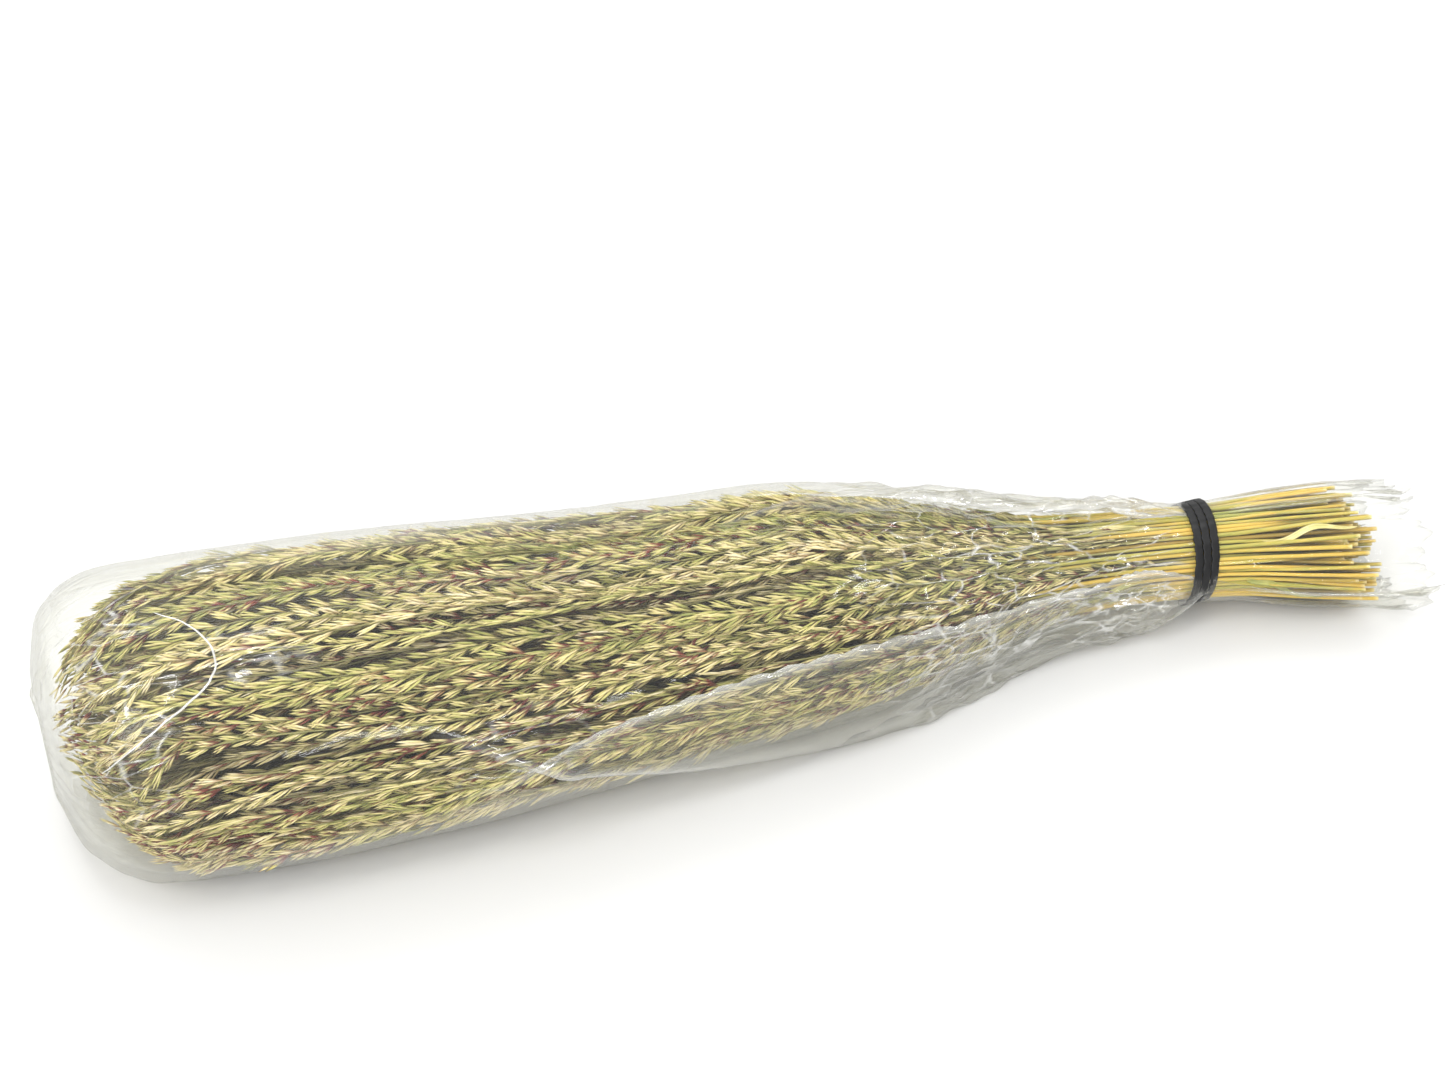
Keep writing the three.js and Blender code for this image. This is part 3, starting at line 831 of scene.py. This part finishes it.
def dry_leaf(index, distance, direction, length, width, curl):
    """A withered blade that lies on the stems: a thin ribbon which narrows, twists and curls.
    Distance and sizes in mm, direction round the bundle and curl in degrees."""
    steps, across = 22, 5
    t = np.linspace(0, 1, steps)
    x = at(distance) - t * length * MM
    angle = np.radians(direction + curl * t**1.5 + 4 * np.sin(9 * t + index))
    reach = sleeve.reach_at(x, angle % (2 * math.pi)) - (2.0 + 0.8 * np.sin(7 * t + index)) * MM
    heart = sleeve.middle_at(x)
    vertices, faces = [], []
    for k in range(steps):
        half = width * MM * 0.5 * math.sin(math.pi * min(1, 0.12 + 0.88 * (1 - t[k]))) ** 0.6
        out = np.array([0, math.cos(angle[k]), math.sin(angle[k])])
        side = np.array([0, -out[2], out[1]])
        middle = np.array([x[k], *heart[k]]) + out * reach[k]
        for j in range(across):
            share = 2 * j / (across - 1) - 1
            vertices.append(middle + side * half * share - out * half * 0.55 * (1 - share**2))
    for k in range(steps - 1):
        for j in range(across - 1):
            a = k * across + j
            faces.append((a, a + 1, a + 1 + across, a + across))
    leaf = mesh_object(f"dry_leaf_{index}", vertices, faces)
    wall = leaf.modifiers.new("wall", "SOLIDIFY")
    wall.thickness = 0.2 * MM
    paint(leaf, "across", np.tile(np.linspace(-1, 1, across), steps))
    paint(leaf, "reach", np.full(len(vertices), 0.55))
    paint(leaf, "tone", np.full(len(vertices), 0.32 + 0.2 * math.sin(index)))
    paint(leaf, "husk_tone", np.zeros(len(vertices)))
    # The leaves lie on the outside and get no painted shade.
    paint(leaf, "near_skin", np.ones(len(vertices)))
    leaf.data.materials.append(CHAFF)
    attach(leaf, "root")


# (distance from the tips, direction, length, width, curl)
DRY_LEAVES = (
    (626, 116, 52, 3.2, 15), (535, 100, 70, 4, -22), (520, 168, 64, 4, 26), (500, 62, 58, 4, -18),
    (606, 200, 38, 4, -30), (505, 222, 60, 5, 20), (540, 20, 66, 4, 24), (515, -30, 60, 4, -20),
)
for index, leaf in enumerate(DRY_LEAVES):
    dry_leaf(index + 1, *leaf)

wisp_names = sorted(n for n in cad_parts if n.startswith("stalks_"))
stalk_count = sum(grow_wisp(name, index) for index, name in enumerate(wisp_names))
print("stalks:", stalk_count)

# ---- Film sleeve ------------------------------------------------------------------------
FILM_ROWS, FILM_COLUMNS = 216, 212
FILM_WALL = 0.15 * MM  # real film is about 0.04 mm; this is thick enough to keep two sides
FILM_AROUND = 0.45  # the film's way round the belly, which sets the size of its creases
FLOOR_GAP = 0.5 * MM
PLEATS = 46
# How crumpled the film is: everywhere, and more of it at each place.
CRUMPLE, CRUMPLE_END, CRUMPLE_NECK, CRUMPLE_MOUTH, CRUMPLE_PATCH = 0.5, 3.4, 5.2, 4.0, 3.0
FACETS = ((0.85 * MM, 0.034), (0.42 * MM, 0.013))  # (height where crumple is 1, width)
TORN = ((0.011, 7), (0.03, 8))  # (width of a tear in m, its depth in mm)
MOUTH_ZONE = 0.03  # length of the film that the tears reach into
# Distances from the tips in mm: over these the closed end, the neck and the mouth change over
# to the next part of the film. The band holds it between the two of the tie.
END_ZONE, NECK_BEGINS, NECK_ENDS, PAST_TIE = (15, 70), (330, 440), (515, 546), (632, 650)
TIE = (548, 566)
END_X = sleeve.x[0]
MOUTH_X = sleeve.x[-1]


def creased(along, around, size, rng, layers=3):
    """Flat facets with sharp creases between them, from -1 to 1, as crumpled film has."""
    height = np.zeros(np.broadcast(along, around).shape)
    for _ in range(layers):
        angle = rng.uniform(0, math.pi)
        reach = size * rng.uniform(0.7, 1.8)
        bend = 0.35 * np.sin(along / size * rng.uniform(0.5, 1.1) + rng.uniform(0, 6))
        bend = bend + 0.35 * np.sin(around / size * rng.uniform(0.5, 1.1) + rng.uniform(0, 6))
        wave = (along * math.cos(angle) + around * math.sin(angle)) / reach + bend + rng.uniform(0, 1)
        height += np.abs(2 * (wave - np.floor(wave)) - 1) * 2 - 1
    return height / layers


# Long Z-folds that take up the film's spare width where the bundle narrows. Each has its
# place and its spread by distance from the tips: (distance mm, angle deg, half width deg,
# layer gap mm, fin mm). The fin is the folded edge, where it stands off the grass.
FRONT_FOLD = (
    (0, 172, 0, 0.0, 0), (150, 172, 0, 0.3, 0), (200, 177, 17, 1.0, 0.8), (280, 186, 37, 1.5, 2),
    (363, 194, 49, 1.9, 8), (430, 199, 56, 2.1, 14), (480, 200, 60, 2.0, 12), (520, 190, 56, 1.2, 8),
    (548, 178, 26, 0.2, 0.4), (575, 185, 18, 0.1, 0), (690, 185, 22, 0.6, 1),
)
TOP_FOLD = (
    (0, 75, 0, 0.0, 0), (300, 74, 0, 0.3, 0), (380, 70, 28, 1.2, 5), (430, 66, 42, 1.8, 9),
    (490, 68, 46, 1.8, 8), (530, 78, 36, 0.7, 3), (548, 84, 18, 0.2, 0.3), (575, 84, 14, 0.1, 0),
    (690, 84, 18, 0.6, 1),
)
BACK_FOLD = (
    (0, -40, 0, 0.0, 0), (330, -40, 0, 0.2, 0), (420, -36, 28, 1.2, 4), (500, -30, 38, 1.4, 5),
    (548, -30, 18, 0.2, 0.3), (575, -30, 12, 0.1, 0), (690, -30, 16, 0.6, 1),
)
FOLD_SPAN = 0.085  # share of the columns in the turned-back layer of a fold


def fold_shift(t):
    """How a fold moves the columns: ahead to its edge, back, and ahead again."""
    rise = np.clip(1 - (np.abs(t) - 0.5) / 1.5, 0, 1)
    return np.where(np.abs(t) < 0.5, -2 * t, -np.sign(t) * rise)


def add_fold(fold, x, share, angle, height, edge):
    """Lays one Z-fold into the film: moves columns round, lifts the layers, marks the edges."""
    table = np.array(fold, float)
    distance = (x - TIP_X) / MM
    place, half, gap, fin = [along_curve(table[:, 0], table[:, k], distance) for k in range(1, 5)]
    middle = ((np.radians(place[:, None]) + math.pi / 2) / (2 * math.pi)) % 1.0
    t = (share[None, :] - middle) / FOLD_SPAN
    angle += np.radians(np.maximum(half, 0))[:, None] * fold_shift(t)
    layer = np.clip(0.5 - t, 0, 1) * 2 * np.exp(-np.clip(-t - 0.5, 0, None) ** 2 / 1.4)
    height += np.maximum(gap, 0)[:, None] * MM * layer
    height += np.maximum(fin, 0)[:, None] * MM * np.exp(-(((t + 0.5) / 0.42) ** 2))
    # The fold's edges are marked for the film's painted highlight.
    edge += np.clip(half / 30, 0, 1)[:, None] * np.exp(-(((np.abs(t) - 0.5) / 0.055) ** 2))


def film_rows():
    """Rows of the film from the middle of its closed end to its mouth: place along X and
    share of the section's reach, closer together at the end and at the neck."""
    x = np.concatenate([np.full(20, END_X), np.linspace(END_X, MOUTH_X, 900)])
    share = np.concatenate([np.linspace(0, 1, 20), np.ones(900)])
    reach = sleeve.reach_at(x, np.full(len(x), math.pi / 2)) * share
    step = np.hypot(np.diff(x), np.diff(reach))
    middles = (x[1:] + x[:-1]) / 2
    step *= 1 + 0.5 * (middles < at(10)) + 1.1 * between(middles, at(370), at(600), 0.03)
    walk = np.concatenate([[0], np.cumsum(step)])
    pick = np.linspace(0, walk[-1], FILM_ROWS + 1)[1:]
    return np.interp(pick, walk, x), np.interp(pick, walk, share)


def film_base(x, share, angle):
    """Points of the unfolded film at rows and angles."""
    count = angle.shape[1]
    flat_x, flat_angle = np.repeat(x, count), angle.ravel()
    reach = sleeve.reach_at(flat_x, flat_angle) * np.repeat(share, count)
    middle = sleeve.middle_at(flat_x)
    y = middle[:, 0] + np.cos(flat_angle) * reach
    z = middle[:, 1] + np.sin(flat_angle) * reach
    return np.column_stack([flat_x, y, z]).reshape(angle.shape + (3,))


def film_points():
    """The film's grid of points, and at each how crumpled it is, how near the edge of a
    fold, and how much it lies double."""
    rng = np.random.default_rng(SEED + 31)
    x, share = film_rows()
    columns = np.arange(FILM_COLUMNS) / FILM_COLUMNS
    angle = np.tile(columns * 2 * math.pi - math.pi / 2, (FILM_ROWS, 1))
    height = np.zeros_like(angle)
    edge = np.zeros_like(angle)
    for fold in (FRONT_FOLD, TOP_FOLD, BACK_FOLD):
        add_fold(fold, x, columns, angle, height, edge)
    base = film_base(x, share, angle)
    turned = film_base(x, share, angle + 0.02) - film_base(x, share, angle - 0.02)
    ahead = np.gradient(film_base(x, share, np.tile(angle.mean(0), (FILM_ROWS, 1))), axis=0)
    normal = np.cross(ahead, turned)
    outward = base - np.concatenate([x[:, None], sleeve.middle_at(x)], axis=1)[:, None, :]
    outward[:, :, 0] -= 0.02 * (x[:, None] < at(30))
    normal *= np.sign(np.sum(normal * outward, axis=2, keepdims=True) + 1e-12)
    normal /= np.linalg.norm(normal, axis=2, keepdims=True) + 1e-12

    # Arc lengths stand in for places on the sheet, so that creases keep their real size.
    along = np.concatenate([[0], np.cumsum(np.linalg.norm(np.diff(base[:, 0], axis=0), axis=1))])[:, None]
    around = columns[None, :] * FILM_AROUND
    place = x[:, None]
    turn = angle
    near_end = (1 - smooth(place, at(END_ZONE[0]), at(END_ZONE[1]))) * share[:, None]
    upper_end = near_end * (0.35 + 0.65 * between(turn, math.radians(30), math.radians(150), 0.6))
    neck = smooth(place, at(NECK_BEGINS[0]), at(NECK_BEGINS[1]))
    neck = neck * (1 - smooth(place, at(NECK_ENDS[0]), at(NECK_ENDS[1])))
    past_tie = smooth(place, at(PAST_TIE[0]), at(PAST_TIE[1]))
    patch = bump(place, at(86), 0.022) * bump(turn, math.radians(119), 0.22)
    patch = patch + 1.3 * bump(place, at(192), 0.030) * bump(turn, math.radians(171), 0.24)
    crumple = CRUMPLE + CRUMPLE_END * upper_end + CRUMPLE_NECK * neck
    crumple = crumple + CRUMPLE_MOUTH * past_tie + CRUMPLE_PATCH * patch
    loose = 1 - between(place, at(546), at(568), 0.02)
    for size, width in FACETS:
        height += size * crumple * loose * creased(along, around, width, rng)
    # The bag's corners stand off at the closed end.
    corner = bump(turn, math.radians(95), 0.35)
    height += MM * near_end * (1.0 * corner - 2.5 * bump(turn, math.radians(150), 0.9))
    height -= MM * near_end * 5.0 * bump(turn, math.radians(50), 0.8)
    # Pleats run into the tie, shallower the nearer they come to it.
    pleats = (columns * PLEATS + 0.7 * np.sin(columns * 21)) % 1.0
    pleats = np.abs(pleats * 2 - 1)[None, :] - 0.5
    gather = smooth(place, at(430), at(525)) * (1 - smooth(place, at(600), at(660)))
    depth = 0.35 + 1.9 * (1 - between(place, at(TIE[0]), at(TIE[1]), 0.035))
    height += MM * pleats * gather * depth
    height += MM * (2.6 * neck + 0.4 * gather + 1.5 * patch + 0.4 * upper_end)
    held = between(place, at(TIE[0]), at(TIE[1]), 0.008)
    height = height * (1 - held) + np.clip(height, -0.3 * MM, 0.15 * MM) * held
    height = np.where(place < at(546), np.maximum(height, -0.4 * MM), height)
    points = base + normal * height[:, :, None]
    # The long front fold starts with a small bulge that faces up.
    bulge = 6.5 * MM * bump(place, at(196), 0.026) * bump(turn, math.radians(184), 0.20)
    points += normal * bulge[:, :, None]
    # The end is drawn in over the tips.
    points[:, :, 0] += 7.5 * MM * (1 - smooth(place, END_X, at(62)))
    # The mouth is torn.
    tear = sum(creased(columns * FILM_AROUND, columns * 0, width, rng) * depth for width, depth in TORN)
    near_mouth = smooth(place, MOUTH_X - MOUTH_ZONE, MOUTH_X)
    points[:, :, 0] += MM * tear * near_mouth - 2 * MM * near_mouth
    points[:, :, 2] = np.maximum(points[:, :, 2], FLOOR_GAP + 0.4 * MM * (columns * 40 % 1.0))
    layered = 1.5 * past_tie + 0.35 * near_end
    return points, crumple * np.ones_like(angle), edge * (1 - held), layered * np.ones_like(angle)


def clear_film():
    """Thin clear polypropylene film: glossy on both sides, slightly milky where it is seen
    edge on or lies in layers, with fine crinkles."""
    material, output = new_material("clear_polypropylene_film")
    tree = material.node_tree
    crumple, layered, fold_edge = (
        node(tree, "ShaderNodeAttribute", attribute_name=name).outputs["Fac"]
        for name in ("crumple", "layered", "fold_edge")
    )
    place = node(tree, "ShaderNodeTexCoord").outputs["Object"]
    fine = node(tree, "ShaderNodeTexNoise", {"Vector": place, "Scale": 160, "Detail": 2}).outputs["Fac"]
    # Crease lines run mostly along the bundle: cells about 60 by 10 mm, lines under 1 mm wide.
    bent = node(tree, "ShaderNodeTexNoise", {"Vector": place, "Scale": 28, "Detail": 1}).outputs["Color"]
    bent = node(tree, "ShaderNodeVectorMath", {0: bent, "Scale": 0.003}, operation="SCALE").outputs[0]
    bent = node(tree, "ShaderNodeVectorMath", {0: place, 1: bent}, operation="ADD").outputs[0]
    cells = node(tree, "ShaderNodeMapping", {"Vector": bent, "Scale": (17, 100, 100)}).outputs[0]
    cells = node(tree, "ShaderNodeTexVoronoi", {
        "Vector": cells, "Scale": 1,
    }, feature="DISTANCE_TO_EDGE").outputs[0]
    ridge = node(tree, "ShaderNodeMapRange", {0: cells, 1: 0.0, 2: 0.16, 3: 1.0, 4: 0.0}).outputs[0]
    line = node(tree, "ShaderNodeMapRange", {0: cells, 1: 0.0, 2: 0.032, 3: 1.0, 4: 0.0}).outputs[0]
    wear_and_glint = node(tree, "ShaderNodeMapRange", {
        0: crumple, 1: 0.9, 2: 5.0, 3: 0.0, 4: 1.0,
    }).outputs[0]
    ridge = node(tree, "ShaderNodeMath", {0: ridge, 1: wear_and_glint}, operation="MULTIPLY").outputs[0]
    # Creases come and go along their length.
    broken = node(tree, "ShaderNodeMapRange", {0: fine, 1: 0.36, 2: 0.54, 3: 0.0, 4: 1.0}).outputs[0]
    line = node(tree, "ShaderNodeMath", {0: line, 1: broken}, operation="MULTIPLY").outputs[0]
    line = node(tree, "ShaderNodeMath", {0: line, 1: wear_and_glint}, operation="MULTIPLY").outputs[0]
    relief = node(tree, "ShaderNodeMath", {0: fine, 1: 0.16, 2: ridge}, operation="MULTIPLY_ADD").outputs[0]
    crinkled = node(tree, "ShaderNodeBump", {"Strength": 0.8, "Distance": 0.7 * MM, "Height": relief})
    normal = crinkled.outputs["Normal"]
    gloss = node(tree, "ShaderNodeBsdfPrincipled", {
        "Base Color": linear("#EBEBE9"), "Metallic": 0.40, "Roughness": 0.07, "Normal": normal,
    }).outputs[0]
    edge_on = node(tree, "ShaderNodeLayerWeight", {"Blend": 0.5, "Normal": normal}).outputs["Facing"]
    # Light crosses more of the film where it is seen edge on, and comes through greyer.
    depth = node(tree, "ShaderNodeMath", {
        0: layered, 1: 0.30, 2: edge_on,
    }, operation="MULTIPLY_ADD").outputs[0]
    through = node(tree, "ShaderNodeValToRGB", {0: depth}, stops=(
        (0.35, "#FEFEFD"), (0.75, "#F9F9F7"), (1.0, "#F0F0EE"),
    )).outputs["Color"]
    clear = node(tree, "ShaderNodeBsdfTransparent", {"Color": through}).outputs[0]
    veil = node(tree, "ShaderNodeMapRange", {
        0: edge_on, 1: 0.36, 2: 1.0, 3: 0.022, 4: 0.30,
    }, interpolation_type="SMOOTHSTEP").outputs[0]
    haze = node(tree, "ShaderNodeMath", {0: wear_and_glint, 1: 0.014, 2: veil}, operation="MULTIPLY_ADD").outputs[0]
    # Crease lines take more of the white gloss: a painted glint along each crease, besides the real shine
    # off the crinkles.
    share = node(tree, "ShaderNodeMath", {0: line, 1: 0.40, 2: haze}, operation="MULTIPLY_ADD").outputs[0]
    # Fold edges and the weld take more of it too: a painted highlight along them.
    share = node(tree, "ShaderNodeMath", {
        0: fold_edge, 1: 0.30, 2: share,
    }, operation="MULTIPLY_ADD")
    share.use_clamp = True
    mixed = node(tree, "ShaderNodeMixShader", {0: share.outputs[0], 1: clear, 2: gloss}).outputs[0]
    tree.links.new(mixed, output.inputs["Surface"])
    return material


def make_film():
    """The sleeve as one sheet with a wall: closed over the heads, open past the cut ends."""
    points, crumple, edge, layered = film_points()
    vertices = [points[0].mean(0)] + list(points.reshape(-1, 3))
    faces = []
    for k in range(FILM_COLUMNS):
        following = (k + 1) % FILM_COLUMNS
        faces.append((0, 1 + following, 1 + k))
        for row in range(FILM_ROWS - 1):
            first, second = 1 + row * FILM_COLUMNS, 1 + (row + 1) * FILM_COLUMNS
            faces.append((first + k, first + following, second + following, second + k))
    film = mesh_object("film_sleeve", vertices, faces)
    paint(film, "crumple", np.concatenate([[crumple[0].mean()], crumple.ravel()]))
    paint(film, "fold_edge", np.concatenate([[0.0], edge.ravel()]))
    paint(film, "layered", np.concatenate([[0.0], layered.ravel()]))
    film.data.materials.append(FILM)
    wall = film.modifiers.new("wall", "SOLIDIFY")
    wall.thickness = FILM_WALL
    wall.offset = 0.0
    around = np.linalg.norm(np.diff(points, axis=1, append=points[:, :1]), axis=2).sum(1)
    length = np.linalg.norm(np.diff(points, axis=0), axis=2).sum(0).mean()
    print("film: widest way round", round(float(around.max()), 4), "length", round(float(length), 4))
    return film, points


WELD_WIDTH, WELD_HEIGHT, WELD_LIFT = 0.55 * MM, 0.3 * MM, 0.25 * MM
WELD_STEPS, WELD_SIDES = 90, 8
# (distance from the tips in mm, direction in degrees)
WELD_PATH = ((50, 92), (62, 100), (70, 112), (69, 123), (59, 131), (43, 139), (27, 147), (14, 154))


def make_weld(points):
    """The welded line that closes the sleeve's end: a thin arc-shaped bead on the film."""
    knots = np.array(WELD_PATH, float)
    walk = np.linspace(0, 1, WELD_STEPS)
    route = along_curve(np.linspace(0, 1, len(knots)), knots, walk)
    x = at(route[:, 0])
    angle = np.radians(route[:, 1])
    grid = points.reshape(-1, 3)
    middle = sleeve.middle_at(grid[:, 0])
    grid_angle = np.arctan2(grid[:, 2] - middle[:, 1], grid[:, 1] - middle[:, 0]) % (2 * math.pi)
    path = []
    for place, direction in zip(x, angle):
        apart = np.hypot(grid[:, 0] - place, 0.07 * (grid_angle - direction))
        near = np.argsort(apart)[:8]
        weight = 1 / (apart[near] + 1 * MM)
        path.append((grid[near] * weight[:, None]).sum(0) / weight.sum())
    path = np.array(path)
    for _ in range(6):
        path[1:-1] = (path[:-2] + 2 * path[1:-1] + path[2:]) / 4
    heart = np.column_stack([np.full(len(x), at(60)), sleeve.middle_at(x)])
    out = unit(path - heart)
    side = np.cross(unit(np.gradient(path, axis=0)), out)
    rings = []
    for k in range(WELD_STEPS):
        slim = 0.3 + 0.7 * math.sin(math.pi * k / (WELD_STEPS - 1)) ** 0.4
        for corner in range(WELD_SIDES):
            way = corner * 2 * math.pi / WELD_SIDES
            rise = math.sin(way) * WELD_HEIGHT + WELD_LIFT
            rings.append(path[k] + slim * (side[k] * math.cos(way) * WELD_WIDTH + out[k] * rise))
    weld = skinned("film_weld", rings, WELD_SIDES)
    paint(weld, "crumple", np.full(len(rings), 3.0))
    # The weld's bead is drawn bright with the painted highlight of a fold edge.
    paint(weld, "fold_edge", np.full(len(rings), 1.6))
    weld.data.materials.append(FILM)
    return weld


FILM = clear_film()
film, film_grid = make_film()
weld = make_weld(film_grid)
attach(weld, "root")
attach(film, "root")
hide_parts("sleeve")

# ---- Rubber band ------------------------------------------------------------------------
BAND_TURNS = 3
STEPS_A_TURN = 120
STRIP_THICK = 1.0 * MM
STRIP_SIDES = 12
STRIP_SHARE, STRIP_PITCH = 0.94, 1.04  # a strip's width in its third, and the step between turns
CROSSING = 0.86  # share of a turn after which the strip crosses over to the next one


def black_rubber():
    """Moulded natural rubber, black: soft satin, faint rub marks and dust along its length."""
    material, output = new_material("black_rubber")
    tree = material.node_tree
    place = node(tree, "ShaderNodeTexCoord").outputs["Object"]
    grain = node(tree, "ShaderNodeTexNoise", {"Vector": place, "Scale": 900, "Detail": 3}).outputs["Fac"]
    rubs = node(tree, "ShaderNodeTexNoise", {"Vector": place, "Scale": 130, "Detail": 2}).outputs["Fac"]
    colour = node(tree, "ShaderNodeValToRGB", {0: rubs}, stops=(
        (0.3, "#0A0A0B"), (0.6, "#121213"), (0.85, "#262628"),
    )).outputs["Color"]
    rough = node(tree, "ShaderNodeMapRange", {0: rubs, 1: 0.3, 2: 0.8, 3: 0.40, 4: 0.66}).outputs[0]
    relief = node(tree, "ShaderNodeBump", {"Strength": 0.4, "Distance": 0.1 * MM, "Height": grain})
    shader = node(tree, "ShaderNodeBsdfPrincipled", {
        "Base Color": colour, "Roughness": rough, "IOR": 1.52, "Specular IOR Level": 0.32,
        "Normal": relief.outputs["Normal"],
    })
    tree.links.new(shader.outputs[0], output.inputs["Surface"])
    return material


def band_ring():
    """The model's band seen from its middle: its two edges along X and its inner reach, by angle."""
    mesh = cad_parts["rubber_band"].data
    corners = np.array([v.co[:] for v in mesh.vertices])
    middle = sleeve.middle_at(np.array([BAND_X]))[0]
    turn = np.arctan2(corners[:, 2] - middle[1], corners[:, 1] - middle[0]) % (2 * math.pi)
    reach = np.hypot(corners[:, 1] - middle[0], corners[:, 2] - middle[1])
    low, high, inner = [], [], []
    for angle in ANGLES:
        apart = np.abs((turn - angle + math.pi) % (2 * math.pi) - math.pi)
        near = apart < 0.12
        low.append(corners[near, 0].min())
        high.append(corners[near, 0].max())
        inner.append(reach[near].min())
    return middle, np.array(low), np.array(high), np.array(inner)


def make_band():
    """One flat strip wound three times side by side, which crosses over underneath."""
    rng = np.random.default_rng(SEED + 77)
    middle, low, high, inner = band_ring()
    turns = np.linspace(0, 2 * math.pi * BAND_TURNS, STEPS_A_TURN * BAND_TURNS + 1)
    angle = turns - math.pi / 2
    lap = turns / (2 * math.pi)
    step = np.floor(lap) + smooth(lap - np.floor(lap), CROSSING, 1.0)
    step = np.clip(step, 0, BAND_TURNS - 1)

    def around(values):
        return np.interp(angle % (2 * math.pi), ANGLES, values, period=2 * math.pi)

    width = (high - low).mean() / BAND_TURNS * STRIP_SHARE
    x = around((low + high) / 2) + (step - 1) * width * STRIP_PITCH
    knock = 0.10 * np.sin(angle * 23 + 1) + 0.08 * np.sin(angle * 37 + 2)
    knock += 0.07 * rng.normal(size=len(angle))
    reach = around(inner) + 0.5 * STRIP_THICK + knock * MM
    corners = []
    for side in range(STRIP_SIDES):
        turn = (side + 0.5) * 2 * math.pi / STRIP_SIDES
        across = np.sign(math.cos(turn)) * abs(math.cos(turn)) ** 0.45
        out = np.sign(math.sin(turn)) * abs(math.sin(turn)) ** 0.7
        corners.append((across * width / 2, out * STRIP_THICK / 2))
    rings = []
    for k in range(len(turns)):
        edge = 1 + 0.05 * math.sin(31 * angle[k])
        for across, out in corners:
            y, z = middle + np.array([math.cos(angle[k]), math.sin(angle[k])]) * (reach[k] + out)
            rings.append((x[k] + across * edge, y, z))
    band = skinned("wound_rubber_band", rings, STRIP_SIDES)
    band.data.materials.append(black_rubber())
    return band


band = make_band()
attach(band, "root")
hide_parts("rubber_band")
